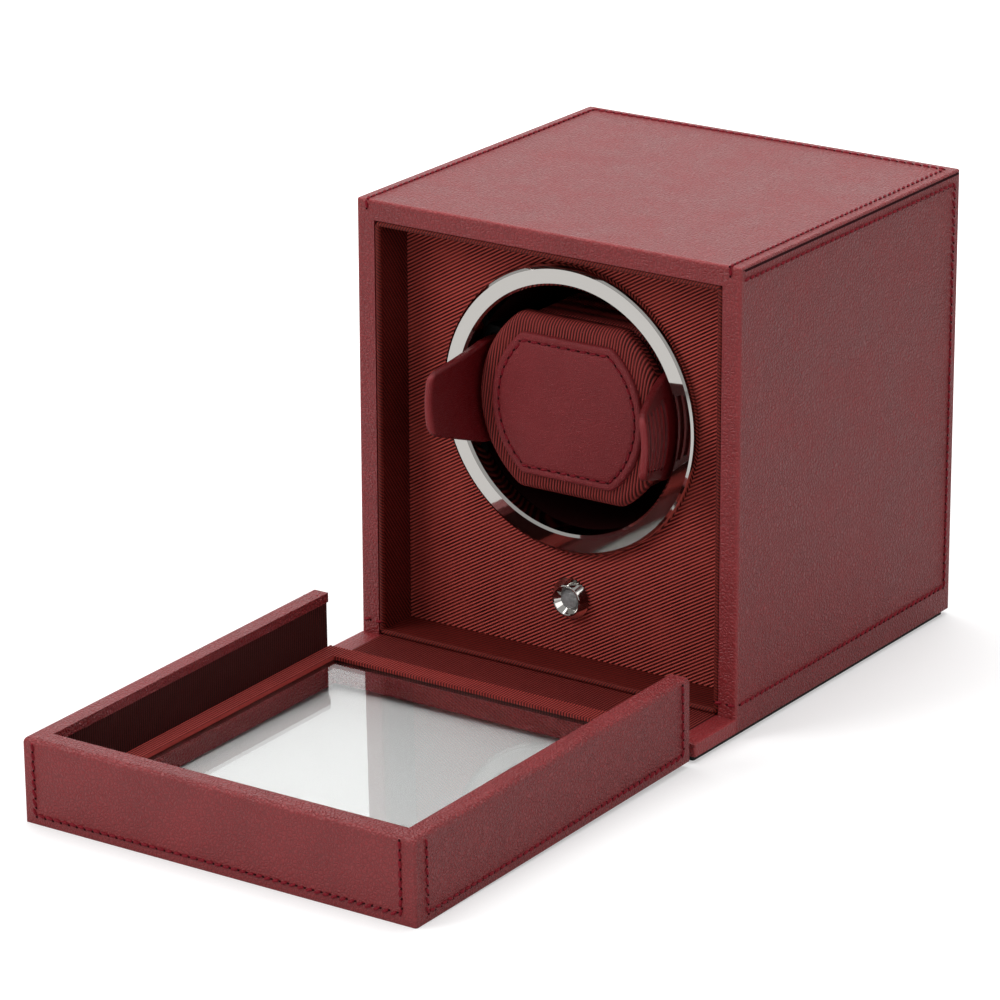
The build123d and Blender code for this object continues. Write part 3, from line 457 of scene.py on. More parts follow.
# The door linings take the darker tones: painted shade.
side_twill = twill_material("door_lining_shaded", *lining_painted_shades, door_along, (0, 0, 1))
far_twill = twill_material("door_far_lining_shaded", *lining_painted_shades, along=(0, 0, 1))
# The recess's twill is darkened to the shade that it sits in: painted shade.
recess_shaded_twill = twill_material("recess_twill_shaded", screen(20, 2, 2), screen(112, 34, 29),
                            (0, 0.8, 0.6), (0, -0.6, 0.8), depth=0.25 * MM, shine=0.06)
piping_twill = twill_material("piping_twill_finish", screen(34, 3, 4), screen(132, 40, 32),
                              coordinates="UV")
cuff_lean = math.radians(8)
cuff_twill = twill_material("cuff_twill_finish", screen(18, 1, 2), screen(166, 62, 58),
                            (math.cos(cuff_lean), -math.sin(cuff_lean), 0),
                            (math.sin(cuff_lean), math.cos(cuff_lean), 0), coordinates="UV")
strip_cloth = twill_material("hinge_cloth_finish", screen(30, 3, 4), screen(108, 28, 25), depth=0.2 * MM)
print("ribs of the faceplate rise at", round(math.degrees(rib_lift)), "degrees")


# %% Thread, plastic, rubber, pile and board
def speckled_material(name, dark, light, rough, scale, depth, inputs=None, detail=2.0, noise_rough=0.5,
                      low=0.3, high=0.7):
    """A finish whose colour and fine relief follow one noise."""
    material, tree, shader = new_material(name, light, rough, inputs)
    speck = noise_node(tree, place(tree), scale, detail, noise_rough)
    colour = blend_colours(tree, ramp_node(tree, speck, low, high), dark, light)
    set_inputs(tree, shader, {"Base Color": colour})
    if depth:
        bump(tree, shader, speck, depth)
    return material


def moulded_material(name, colour, rough, depth=0.03 * MM, scale=3200.0, shine=0.5):
    """Plastic or rubber with a fine spark-eroded texture."""
    return speckled_material(name, shade(colour, 0.75), colour, rough, scale, depth,
                             {"Specular IOR Level": shine})


thread = speckled_material("stitch_thread", screen(96, 4, 18), screen(134, 12, 32), 0.6, 2600.0, 0.0,
                           {"Specular IOR Level": 0.2}, detail=1.0)
velvet = speckled_material(
    "drum_velvet_finish", screen(14, 2, 3), screen(34, 6, 7), 0.95, 2600.0, 0.2 * MM,
    {"Sheen Weight": 0.1, "Sheen Tint": screen(120, 30, 30), "Specular IOR Level": 0.05},
    detail=3.0, noise_rough=0.7, low=0.35)
board = speckled_material("dyed_board", screen(34, 10, 10), screen(60, 20, 18), 0.8, 900.0, 0.06 * MM,
                          detail=4.0, noise_rough=0.65)
# Near black, for the stitch holes and the slit under the top's edge: painted shade.
painted_hole_shade = moulded_material("stitch_hole_finish", screen(44, 3, 9), 0.8, shine=0.1)
black_plastic = moulded_material("black_moulding", screen(14, 13, 14), 0.6, shine=0.2)
black_rubber = moulded_material("black_rubber", screen(22, 22, 22), 0.8, 0.05 * MM, 1800.0)
green_board = moulded_material("circuit_green", screen(24, 84, 44), 0.4, 0.01 * MM, 900.0)
lens_plastic = moulded_material("lens_plastic", screen(150, 150, 150), 0.22, 0.004 * MM, 700.0)


# %% Metal and glass
def metal_material(name, colour, rough, brushed=0.0):
    """Metal with a faint smudge in its gloss."""
    material, tree, shader = new_material(name, colour, rough, {"Metallic": 1.0})
    smudge_scale, grain_scale = 55.0, 2600.0
    smudge = noise_node(tree, place(tree), smudge_scale, 3.0, 0.6)
    gloss = ramp_node(tree, smudge, 0.3, 0.8, rough, rough + 0.02 + brushed)
    set_inputs(tree, shader, {"Roughness": gloss})
    grain_depth = (0.001 + 0.02 * brushed) * MM
    bump(tree, shader, noise_node(tree, place(tree), grain_scale), grain_depth)
    return material


chrome = metal_material("polished_chrome_finish", (0.55, 0.53, 0.505, 1.0), 0.03)
steel = metal_material("satin_steel_finish", (0.56, 0.56, 0.57, 1.0), 0.28, 0.1)
bronze = metal_material("bearing_bronze_finish", (0.55, 0.33, 0.14, 1.0), 0.4, 0.1)
glass = new_material("door_glass_finish", (0.95, 0.962, 0.955, 1.0), 0.0,
                     {"Transmission Weight": 1.0, "IOR": 1.45})[0]
print("materials:", len(bpy.data.materials))

# %% [markdown]
# ## Dressing the CAD nodes
# A CAD node whose shape is already right keeps its mesh and only changes its material. The door's
# leather differs from the case's only in having no painted edge highlight, because the case's lies
# elsewhere.

# %% Give each node its finish
dressed_in = (
    (burgundy, "top_leather side_leather_left side_leather_right back_leather base_leather"),
    (door_burgundy, "door_leather"), (badge_leather, "cuff_badge"), (ear_leather, "ear_left ear_right"),
    (floor_twill, "flap_twill"), (recess_shaded_twill, "liner_box"), (face_twill, "faceplate_twill"),
    (bar_twill, "door_frame_twill"), (side_twill, "door_lining_left door_lining_right"),
    (far_twill, "door_lining_far"), (cuff_twill, "cuff_block cuff_rear_block"),
    (strip_cloth, "hinge_twill"), (velvet, "drum_lining"),
    (board, "case_carcass base_board door_core faceplate"), (glass, "door_glass"),
    (chrome, "bezel_ring button_bezel"), (lens_plastic, "power_button"),
    (black_plastic, "drum drum_pulley motor_pulley bearing_plate standoff_posts cuff_core rear_cover "
                    "power_inlet board_components"),
    (black_rubber, "base_pad drive_belt"), (green_board, "control_board switch_board"),
    (bronze, "bush_front bush_rear"),
)
finishes = {node: finish for finish, nodes in dressed_in for node in nodes.split()}
for name, node in frame["nodes"].items():
    node.data.materials.clear()
    node.data.materials.append(finishes.get(name, steel))
print("steel by default:", sorted(set(frame["nodes"]) - set(finishes)))

# %% [markdown]
# ## Ribbed cloth as real relief
# Under a raking light the ribs throw little shadows, and a painted stripe can't do that. Each cloth
# panel starts as a plain slab from its node's box. A Geometry Nodes tree lays a corrugated block over
# it and keeps only what the two share, so the ribs are cut off cleanly at the panel's edges.


# %% The tree that carves ribs
def build_rib_tree():
    """Shares the given slab with a block whose upper face is a row of arches."""
    tree, given, result = new_group(
        "carve_ribs", "GeometryNodeTree",
        [("Geometry", "Geometry"), ("Width", "Float", 0.1), ("Length", "Float", 0.1),
         ("Pitch", "Float", RIB_PITCH), ("Depth", "Float", 0.3 * MM), ("Thickness", "Float", 1.0 * MM),
         ("Columns", "Int", 400), ("Centre", "Vector"), ("Rotation", "Rotation"),
         ("Material", "Material")],
        [("Geometry", "Geometry")])
    size = add_node(tree, "ShaderNodeCombineXYZ", {"X": given["Width"], "Y": given["Length"],
                                                   "Z": given["Thickness"]})
    block = add_node(tree, "GeometryNodeMeshCube", {"Size": size.outputs[0], "Vertices X": given["Columns"],
                                                    "Vertices Y": 2, "Vertices Z": 2})
    x, y, z = split_node(tree, add_node(tree, "GeometryNodeInputPosition").outputs[0])
    turn = product_node(tree, math_node(tree, "DIVIDE", x, given["Pitch"]), math.pi)
    arch = math_node(tree, "ABSOLUTE", math_node(tree, "COSINE", turn))
    drop = product_node(tree, math_node(tree, "SUBTRACT", arch, 1.0), given["Depth"])
    above = add_node(tree, "FunctionNodeCompare", {"A": z, "B": 0.0}, data_type="FLOAT",
                     operation="GREATER_THAN")
    ribs = add_node(tree, "GeometryNodeSetPosition", {
        "Geometry": block.outputs["Mesh"], "Selection": above.outputs[0],
        "Offset": add_node(tree, "ShaderNodeCombineXYZ", {"Z": drop}).outputs[0]})
    moved = add_node(tree, "GeometryNodeTransform", {
        "Geometry": ribs.outputs[0], "Translation": given["Centre"], "Rotation": given["Rotation"]})
    shared = add_node(tree, "GeometryNodeMeshBoolean", operation="INTERSECT", solver="EXACT")
    for mesh in (given["Geometry"], moved.outputs[0]):
        tree.links.new(mesh, shared.inputs["Mesh 2"])
    real = add_node(tree, "GeometryNodeRealizeInstances", {0: shared.outputs["Mesh"]})
    paint = add_node(tree, "GeometryNodeSetMaterial", {"Geometry": real.outputs[0],
                                                       "Material": given["Material"]})
    set_inputs(tree, result, {0: paint.outputs[0]})
    return tree


rib_tree = build_rib_tree()
print("rib tree:", len(rib_tree.nodes), "nodes")


# %% Making and baking pieces
def new_object(name, data):
    """An object in the scene."""
    piece = bpy.data.objects.new(name, data)
    scene.collection.objects.link(piece)
    return piece


def mesh_piece(name, work, material=None):
    """A new object from a bmesh."""
    mesh = bpy.data.meshes.new(name)
    work.to_mesh(mesh)
    work.free()
    if material:
        mesh.materials.append(material)
    return new_object(name, mesh)


def bake(piece):
    """Turns what a piece's modifiers show into its plain mesh."""
    piece.update_tag()
    ready = piece.evaluated_get(bpy.context.evaluated_depsgraph_get())
    mesh = bpy.data.meshes.new_from_object(ready)
    piece.modifiers.clear()
    piece.data = mesh


def bake_tree(piece, tree, values):
    """Runs a tree on a piece, with its inputs set by name, and leaves a plain mesh behind."""
    modifier = piece.modifiers.new(tree.name, "NODES")
    modifier.node_group = tree
    for socket in tree.interface.items_tree:
        if socket.in_out == "INPUT" and socket.name in values:
            modifier[socket.identifier] = values[socket.name]
    bake(piece)


def settle(piece, body, node=None):
    """Attaches a piece to the body it rides on and hides the node it stands for, if one is given."""
    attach(piece, body)
    if node:
        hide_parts(node)
    print(piece.name, "faces:", len(piece.data.polygons))


def slab(work, low, high):
    """Adds a closed block between two corners to a bmesh."""
    size = high - low
    matrix = Matrix.Translation((low + high) / 2) @ Matrix.Diagonal((size.x, size.y, size.z, 1.0))
    bmesh.ops.create_cube(work, size=1.0, matrix=matrix)


# %% [markdown]
# Each panel is cut in its own plane: the case's panels stand square, and the door's are made level
# and then turned with the door. The faceplate's two round openings are hidden, one under the chrome
# ring and one under the button's flange, so they are cut as many-sided holes midway under the covers.


# %% Cutting and ribbing a panel
def cut_away(piece, tool):
    """Takes a closed bmesh's shape out of a piece."""
    cutter = mesh_piece("cutter", tool)
    modifier = piece.modifiers.new("cut", "BOOLEAN")
    modifier.operation = "DIFFERENCE"
    modifier.solver = "EXACT"
    modifier.object = cutter
    bake(piece)
    bpy.data.objects.remove(cutter)


def round_tool(height, radius, sides=72):
    """A rod that runs through the faceplate's cloth, at a height."""
    tool = bmesh.new()
    centre = Vector((0, face_low.y, height))
    matrix = Matrix.Translation(centre) @ Matrix.Rotation(math.radians(90), 4, "X")
    bmesh.ops.create_cone(tool, cap_ends=True, segments=sides, radius1=radius, radius2=radius,
                          depth=30 * MM, matrix=matrix)
    return tool


def ribbed_panel(name, node, box, out, ribs, material, body, tools=()):
    """A panel in a node's place whose cloth faces one way and whose ribs run another way.

    The corrugated block is a little wider, longer and thicker than the slab that it is shared with.
    """
    spare, relief, columns_per_rib = 2 * MM, 0.42 * MM, 8
    low, high = box
    work = bmesh.new()
    slab(work, low, high)
    piece = mesh_piece(name, work)
    for tool in tools:
        cut_away(piece, tool)
    out, ribs = Vector(out), Vector(ribs)
    across = ribs.cross(out)
    middle, size = (low + high) / 2, high - low
    thick = abs(size.dot(out)) + spare
    centre = middle + out * (max(low.dot(out), high.dot(out)) - thick / 2 - middle.dot(out))
    centre -= across * math.remainder(centre.dot(across), RIB_PITCH)
    reach = sum(abs(size[i] * across[i]) for i in range(3)) + 4 * RIB_PITCH
    length = sum(abs(size[i] * ribs[i]) for i in range(3)) + 2 * spare
    slanted = abs(ribs.x) > 0.1 and abs(ribs.z) > 0.1
    if slanted:
        reach = length = size.length + 3 * spare
    count = math.ceil(reach / RIB_PITCH / 2) * 2
    bake_tree(piece, rib_tree, {
        "Width": count * RIB_PITCH, "Length": length, "Thickness": thick, "Pitch": RIB_PITCH,
        "Depth": relief, "Columns": count * columns_per_rib + 1, "Centre": centre,
        "Rotation": Matrix((across, ribs, out)).transposed().to_euler(), "Material": material})
    if body == "door":
        piece.data.transform(door_turn)
    settle(piece, body, node)


# %% The case's ribbed panels
face_low, face_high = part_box("faceplate_twill")
button_low, button_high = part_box("button_bezel")
under_ring, under_flange = 43.5 * MM, 5.6 * MM
holes = [round_tool(drum_z, under_ring), round_tool((button_low.z + button_high.z) / 2, under_flange)]
ribbed_panel("faceplate_cloth", "faceplate_twill", (face_low, face_high), (0, -1, 0), face_along,
             face_twill, "case", holes)
ribbed_panel("flap_cloth", "flap_twill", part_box("flap_twill"), (0, 0, 1), (0, 1, 0), floor_twill, "case")

# %% The door's ribbed panels
bars_low, bars_high = level_box("door_frame_twill")
glass_low, glass_high = level_box("door_glass")
lap = 2 * MM
spare_height = 10 * MM
window = bmesh.new()
slab(window, Vector((glass_low.x + lap, glass_low.y + lap, bars_low.z - spare_height)),
     Vector((glass_high.x - lap, glass_high.y - lap, bars_high.z + spare_height)))
ribbed_panel("door_frame_cloth", "door_frame_twill", (bars_low, bars_high), (0, 0, 1), (0, 1, 0),
             bar_twill, "door", [window])
for side, out, finish in (("left", (1, 0, 0), side_twill), ("right", (-1, 0, 0), side_twill),
                          ("far", (0, 1, 0), far_twill)):
    node = "door_lining_" + side
    ribbed_panel(node + "_cloth", node, level_box(node), out, (0, 0, 1), finish, "door")

# %% [markdown]
# ## The padded cuff
# Foam under stretched cloth has no flat faces: it swells up to its middle and rolls over at its rim.
# A cloth simulation would find much the same shape and lose the straight ribs, so the pads are grown
# directly. Their outline is a barrel, level above and below and bowed at its sides. Their height is a
# function of the distance from that outline. The ribs lean a little, as the cloth was cut off its grain.


# %% An outline and its distance
def barrel_outline(half_x, half_z, flat_x, corner, inset=0.0, count=480):
    """Points of a barrel in X and Z: level above and below, bowed left and right, from the +X side on.

    An inset draws the whole line in by that much, which keeps its arcs about the same centres.
    """
    sharpest, side_steps, corner_steps = 0.4 * MM, 60, 16
    bow = half_x - flat_x
    radius = (half_z ** 2 + bow ** 2) / (2 * bow)
    middle = half_x - radius
    radius, half_z, corner = radius - inset, half_z - inset, max(corner - inset, sharpest)
    turn_x = middle + math.sqrt((radius - corner) ** 2 - (half_z - corner) ** 2)
    turn_z = half_z - corner
    meet = math.atan2(turn_z, turn_x - middle)
    quarter = [(middle + radius * math.cos(a), radius * math.sin(a))
               for a in np.linspace(0, meet, side_steps)]
    quarter += [(turn_x + corner * math.cos(a), turn_z + corner * math.sin(a))
                for a in np.linspace(meet, math.pi / 2, corner_steps)[1:]]
    half = quarter + [(-x, z) for x, z in reversed(quarter)]
    loop = np.array(half + [(-x, -z) for x, z in half[1:-1]])
    closed = np.vstack([loop, loop[:1]])
    along = np.concatenate([[0], np.cumsum(np.linalg.norm(np.diff(closed, axis=0), axis=1))])
    even = np.linspace(0, along[-1], count, endpoint=False)
    return np.column_stack([np.interp(even, along, closed[:, i]) for i in range(2)])


def distance_inside(points, outline):
    """How far points lie from the outline."""
    nearest = np.full(len(points), np.inf)
    for a, b in zip(outline, np.roll(outline, -1, axis=0)):
        edge = b - a
        share = np.clip((points - a) @ edge / (edge @ edge), 0, 1)
        gap = np.linalg.norm(points - (a + share[:, None] * edge), axis=1)
        nearest = np.minimum(nearest, gap)
    return nearest


def middle_and_half(low, high):
    """The middle height of a box, and half its width and height."""
    return (high.z + low.z) / 2, (high.x - low.x) / 2, (high.z - low.z) / 2


def mesh_from_points(name, points, faces, uv, material):
    """A mesh object from points and faces, with a UV in metres for its cloth."""
    mesh = bpy.data.meshes.new(name)
    mesh.from_pydata([tuple(p) for p in points], [], faces)
    layer = mesh.uv_layers.new(name="cloth")
    index = np.empty(len(mesh.loops), dtype=np.int64)
    mesh.loops.foreach_get("vertex_index", index)
    layer.data.foreach_set("uv", np.asarray(uv)[index].astype(np.float32).ravel())
    mesh.materials.append(material)
    mesh.shade_smooth()
    work = bmesh.new()
    work.from_mesh(mesh)
    bmesh.ops.remove_doubles(work, verts=work.verts, dist=0.001 * MM)
    bmesh.ops.recalc_face_normals(work, faces=work.faces)
    work.to_mesh(mesh)
    work.free()
    return new_object(name, mesh)


print("a barrel of 68 by 57 mm has", len(barrel_outline(34 * MM, 28.5 * MM, 19 * MM, 5 * MM)), "points")


# %% A ribbed pillow
def ribbed_pillow(name, node, front_round, back_round, swell):
    """Cloth stretched over foam: columns run up the front, round the rims and down the back."""
    relief, rim_fade = 0.3 * MM, 0.4 * MM
    flat_share, corner = 0.559, 5 * MM
    columns_per_rib, row_count, row_crowding = 8, 91, 1.8
    wall_steps, turn_steps = 4, 5
    low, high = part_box(node)
    mid_z, half_x, half_z = middle_and_half(low, high)
    outline = barrel_outline(half_x, half_z, flat_share * half_x, corner)
    upper = outline[outline[:, 1] >= -1e-9]
    upper = upper[np.argsort(upper[:, 0])]
    flat_x = half_x - front_round
    spacing = RIB_PITCH / columns_per_rib
    flat_run = np.arange(0, flat_x, spacing)
    bend_run = np.arange(0, math.pi / 2 * front_round, spacing)
    side = np.concatenate([flat_run, flat_x + front_round * np.sin(bend_run / front_round)])
    side = side[side < half_x * 0.9995]
    columns = np.concatenate([-side[:0:-1], side])
    heights = np.interp(columns, upper[:, 0], upper[:, 1])
    share = np.linspace(-1, 1, row_count)
    rows = np.sign(share) * (1 - (1 - np.abs(share)) ** row_crowding)
    x_front = np.repeat(columns[:, None], len(rows), axis=1)
    z_front = heights[:, None] * rows[None, :]
    inside = distance_inside(np.column_stack([x_front.ravel(), z_front.ravel()]), outline)
    inside = inside.reshape(x_front.shape)
    rim = np.clip(front_round - inside, 0, front_round)
    roll = front_round - np.sqrt(np.maximum(front_round ** 2 - rim ** 2, 0))
    crown = swell * np.clip(inside / (3 * front_round), 0, 1) ** 0.7

    def dip(x, z):
        wave = np.cos((x * math.cos(cuff_lean) - z * math.sin(cuff_lean)) * 2 * math.pi / RIB_PITCH)
        return relief * (0.5 - 0.5 * wave)

    y_front = low.y + roll - crown + dip(x_front, z_front) * np.clip(inside / rim_fade, 0, 1)
    wall = high.y - back_round - low.y - front_round
    rim_path = [(low.y + front_round + wall * k / wall_steps, 0.0) for k in range(1, wall_steps + 1)]
    for turn in (math.pi / 2 * k / turn_steps for k in range(1, turn_steps + 1)):
        rim_path.append((high.y - back_round * (1 - math.sin(turn)), back_round * (1 - math.cos(turn))))
    points, uvs = [], []
    for i, (x, h) in enumerate(zip(columns, heights)):
        edge = h - float(dip(x, h))
        back = max(h - back_round, 0.0)
        points += [(x, y_front[i, j], z) for j, z in enumerate(z_front[i])]
        uvs += [(x, z) for z in z_front[i]]
        points += [(x, y, max(edge - drop, 0.0)) for y, drop in rim_path]
        uvs += [(x, h + y - low.y) for y, drop in rim_path]
        points += [(x, high.y, back * k) for k in (0.5, 0.0, -0.5)]
        uvs += [(x, back * k) for k in (0.5, 0.0, -0.5)]
        points += [(x, y, -max(edge - drop, 0.0)) for y, drop in reversed(rim_path)]
        uvs += [(x, -h - y + low.y) for y, drop in reversed(rim_path)]
    points = np.array(points)
    points[:, 2] += mid_z
    count = len(points) // len(columns)
    faces = []
    for start in range(0, len(points) - count, count):
        for j in range(count):
            k = (j + 1) % count
            faces.append((start + j, start + count + j, start + count + k, start + k))
    faces.append(tuple(range(count)))
    faces.append(tuple(range(len(points) - 1, len(points) - count - 1, -1)))
    settle(mesh_from_points(name, points, faces, uvs, cuff_twill), "cuff", node)


ribbed_pillow("cuff_front_pad", "cuff_block", 3 * MM, 2 * MM, 0.4 * MM)
ribbed_pillow("cuff_rear_pad", "cuff_rear_block", 3 * MM, 3 * MM, 0.3 * MM)


# %% The badge's shape
badge_low, badge_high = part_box("cuff_badge")
badge_middle, badge_half_x, badge_half_z = middle_and_half(badge_low, badge_high)
badge_thick = badge_high.y - badge_low.y
badge_seam = 2.7 * MM
badge_flat_share, badge_corner = 0.594, 3 * MM


def badge_outline(inset):
    """The badge's edge, drawn in by an inset."""
    return barrel_outline(badge_half_x, badge_half_z, badge_flat_share * badge_half_x, badge_corner,
                          inset, count=360)


def badge_front(inset):
    """The Y of the badge's face: a rolled edge, a groove that the thread pulls down, and a slight dome."""
    edge, edge_share = 1.0 * MM, 0.25
    groove_depth, groove_width = 0.28 * MM, 0.6 * MM
    dome_height, dome_reach = 0.5 * MM, 12 * MM
    rise = math.sqrt(1 - (1 - min(inset / edge, 1)) ** 2)
    groove = groove_depth * math.exp(-((inset - badge_seam) / groove_width) ** 2)
    dome = dome_height * min(max(inset - badge_seam, 0) / dome_reach, 1) ** 0.6
    return badge_high.y - (badge_thick * (edge_share + (1 - edge_share) * rise) - groove + dome)


def band(first, second, count):
    """The faces between two closed rings of points, given by the number of each ring's first point."""
    return [(first + i, first + (i + 1) % count, second + (i + 1) % count, second + i)
            for i in range(count)]


print("badge", round(badge_thick / MM, 2), "mm thick, its seam", round(badge_seam / MM, 2), "mm in")


# %% The badge
def make_badge():
    """Rings of points from the badge's edge to its middle, with a wall and a back."""
    insets = [0, 0.08 * MM, 0.2 * MM, 0.4 * MM, 0.7 * MM, 1.0 * MM]
    insets += [badge_seam + k * 0.3 * MM for k in range(-4, 5)]
    insets += [badge_seam + 2 * MM + k * 2 * MM for k in range(6)]
    rings = [badge_outline(inset) for inset in insets]
    count = len(rings[0])
    points, faces = [], []

    def add_ring(ring, y, size=1.0):
        points.extend((x * size, y, z * size + badge_middle) for x, z in ring)
        return len(points) - count

    for ring, inset in zip(rings, insets):
        start = add_ring(ring, badge_front(inset))
        if start:
            faces.extend(band(start - count, start, count))
    inner = start
    base = add_ring(rings[0], badge_high.y)
    for size in (0.75, 0.5, 0.25):
        start = add_ring(rings[-1], badge_front(insets[-1] + (1 - size) * 10 * MM), size)
        faces.extend(band(inner, start, count))
        inner = start
    faces.append(tuple(range(inner, inner + count)))
    for i in range(count):
        k = (i + 1) % count
        faces.append((i, base + i, base + k, k))
    faces.append(tuple(range(base + count - 1, base - 1, -1)))
    points = np.array(points)
    piece = mesh_from_points("cuff_badge_leather", points, faces, points[:, (0, 2)], badge_leather)
    settle(piece, "cuff", "cuff_badge")


make_badge()

# %% [markdown]
# ## Stitches
# A lockstitch shows as fat grains of thread, all of one length and each a little askew, that dive into
# a needle hole at both ends. A Geometry Nodes tree walks along every seam. At each step it drops one grain
# and one dark grain that paints the shade in the hole, and a vector stored on the seam's points tells it
# which way the grains lean.


# %% The stitching tree
def build_stitch_tree():
    """Sows grains of thread along the given edges, and between each two a dark grain that paints the shade
    in a needle hole.
    """
    tree, given, result = new_group(
        "sew_stitches", "GeometryNodeTree",
        [("Geometry", "Geometry"), ("Pitch", "Float", STITCH_PITCH), ("Length", "Float", 2.8 * MM),
         ("Width", "Float", 1.05 * MM), ("Hole", "Float", 0.9 * MM), ("Hole width", "Float", 0.6 * MM),
         ("Thread", "Material"), ("Hole finish", "Material")],
        [("Geometry", "Geometry")])
    curve = add_node(tree, "GeometryNodeMeshToCurve", {"Mesh": given["Geometry"]})
    steps = add_node(tree, "GeometryNodeCurveToPoints",
                     {"Curve": curve.outputs["Curve"], "Length": given["Pitch"]}, mode="LENGTH").outputs
    lean = add_node(tree, "GeometryNodeInputNamedAttribute", {"Name": "lean"}, data_type="FLOAT_VECTOR")
    askew = vector_node(tree, "ADD", steps["Tangent"], lean.outputs["Attribute"])
    grain = add_node(tree, "GeometryNodeMeshUVSphere", {"Segments": 8, "Rings": 5, "Radius": 0.5})

    def sow(points, direction, length, width, finish):
        aim = add_node(tree, "FunctionNodeAlignRotationToVector", {"Vector": direction}, axis="X")
        size = add_node(tree, "ShaderNodeCombineXYZ", {"X": length, "Y": width, "Z": width})
        copies = add_node(tree, "GeometryNodeInstanceOnPoints", {
            "Points": points, "Instance": grain.outputs["Mesh"], "Rotation": aim.outputs["Rotation"],
            "Scale": size.outputs[0]})
        real = add_node(tree, "GeometryNodeRealizeInstances", {0: copies.outputs[0]})
        smooth = add_node(tree, "GeometryNodeSetShadeSmooth", {"Geometry": real.outputs[0]})
        paint = add_node(tree, "GeometryNodeSetMaterial", {"Geometry": smooth.outputs[0],
                                                           "Material": finish})
        return paint.outputs[0]

    half_step = add_node(tree, "ShaderNodeVectorMath", operation="SCALE", inputs={
        0: steps["Tangent"], "Scale": product_node(tree, given["Pitch"], 0.5)})
    between = add_node(tree, "GeometryNodeSetPosition", {"Geometry": steps["Points"],
                                                         "Offset": half_step.outputs[0]})
    both = add_node(tree, "GeometryNodeJoinGeometry")
    grains = sow(steps["Points"], askew, given["Length"], given["Width"], given["Thread"])
    # Dark grains between the stitches: painted shade in the needle holes.
    holes = sow(between.outputs[0], steps["Tangent"], given["Hole"], given["Hole width"],
                given["Hole finish"])
    for part in (grains, holes):
        tree.links.new(part, both.inputs[0])
    set_inputs(tree, result, {0: both.outputs[0]})
    return tree


stitch_tree = build_stitch_tree()
print("stitch tree:", len(stitch_tree.nodes), "nodes")


# %% Sewing a seam
def sew(name, seams, body, **sizes):
    """Sews along seams, each a path and the way its surface faces; a closed path ends where it began."""
    lean_share = 0.2
    points, edges, leans = [], [], []
    for path, out in seams:
        start = len(points)
        path = [Vector(p) for p in path]
        edges += [(start + i, start + i + 1) for i in range(len(path) - 1)]
        for before, after in zip([path[0]] + path[:-1], path[1:] + [path[-1]]):
            leans += list(Vector(out).cross((after - before).normalized()) * lean_share)
        points += [tuple(p) for p in path]
    mesh = bpy.data.meshes.new(name)
    mesh.from_pydata(points, edges, [])
    mesh.attributes.new("lean", "FLOAT_VECTOR", "POINT").data.foreach_set("vector", leans)
    piece = new_object(name, mesh)
    bake_tree(piece, stitch_tree, {"Thread": thread, "Hole finish": painted_hole_shade, **sizes})
    if body == "door":
        piece.data.transform(door_turn)
    settle(piece, body)


def bent_path(corners):
    """An open path with a point just before and after each corner, so that only the corner turns."""
    near = 0.3 * MM
    path = [Vector(corners[0])]
    for a, b, c in zip(corners, corners[1:], corners[2:]):
        a, b, c = Vector(a), Vector(b), Vector(c)
        path += [b + (a - b).normalized() * near, b + (c - b).normalized() * near]
    path.append(Vector(corners[-1]))
    return path


# %% Sew the case
lift = 0.05 * MM
inset = 3.8 * MM
side_start = front_y + 3.4 * MM
half = case_high.x
back_y = case_high.y
side_top, seam_z = case_high.z - 4.2 * MM, foot_top + 1.2 * MM
top, rim_y, rear = case_high.z + lift, front_y - lift, back_y + lift
seam_x, seam_y = half - inset, back_y - inset
seams = [(bent_path([(-seam_x, front_y + MM, top), (-seam_x, seam_y, top), (seam_x, seam_y, top),
                     (seam_x, front_y + MM, top)]), (0, 0, 1))]
for side in (-1, 1):
    x = side * (half + lift)
    seams.append((bent_path([(x, side_start, side_top), (x, seam_y, side_top), (x, seam_y, seam_z),
                             (x, side_start, seam_z)]), (side, 0, 0)))
    x = side * seam_x
    upright = [(x, rim_y, case_high.z - 1.6 * MM), (x, rim_y, case_high.z - 3.4 * MM)]
    level = [(side * (half - 1.8 * MM), rim_y, seam_z), (side * (half - 6.4 * MM), rim_y, seam_z)]
    seams += [(upright, (0, -1, 0)), (level, (0, -1, 0))]
ring_path = [(0.1 * MM, rear, seam_z), (seam_x, rear, seam_z), (seam_x, rear, side_top),
             (-seam_x, rear, side_top), (-seam_x, rear, seam_z), (-0.1 * MM, rear, seam_z)]
seams.append((bent_path(ring_path), (0, 1, 0)))
sew("case_stitches", seams, "case")

# %% Painted shade in the slit under the top's folded edge
# A dark strip along each side, just under the top's folded edge, paints the shade of the gap there.
slit = bmesh.new()
slit_low, slit_high = case_high.z - 1.7 * MM, case_high.z - 0.9 * MM
for side in (-1, 1):
    near, far = sorted((side * (half - 0.3 * MM), side * (half + 0.06 * MM)))
    slab(slit, Vector((near, front_y + 2.2 * MM, slit_low)), Vector((far, back_y - MM, slit_high)))
settle(mesh_piece("top_edge_slit_shade", slit, painted_hole_shade), "case")

# %% Sew the door
far_inset, near_inset = 3.8 * MM, 5.4 * MM
door_x = door_high.x + lift
far_y = door_low.y - lift
rim_z, foot_z = door_high.z - 2.6 * MM, door_low.z + 3 * MM
first_y, last_y = door_low.y + near_inset, door_high.y - far_inset
left_x, right_x = far_inset - door_x, door_x - near_inset
seams = [(bent_path([(left_x, far_y, rim_z), (left_x, far_y, foot_z), (right_x, far_y, foot_z),
                     (right_x, far_y, rim_z)]), (0, -1, 0))]
for side in (-1, 1):
    x = side * door_x
    seams.append((bent_path([(x, first_y, rim_z), (x, first_y, foot_z), (x, last_y, foot_z),
                             (x, last_y, rim_z)]), (side, 0, 0)))
sew("door_stitches", seams, "door")

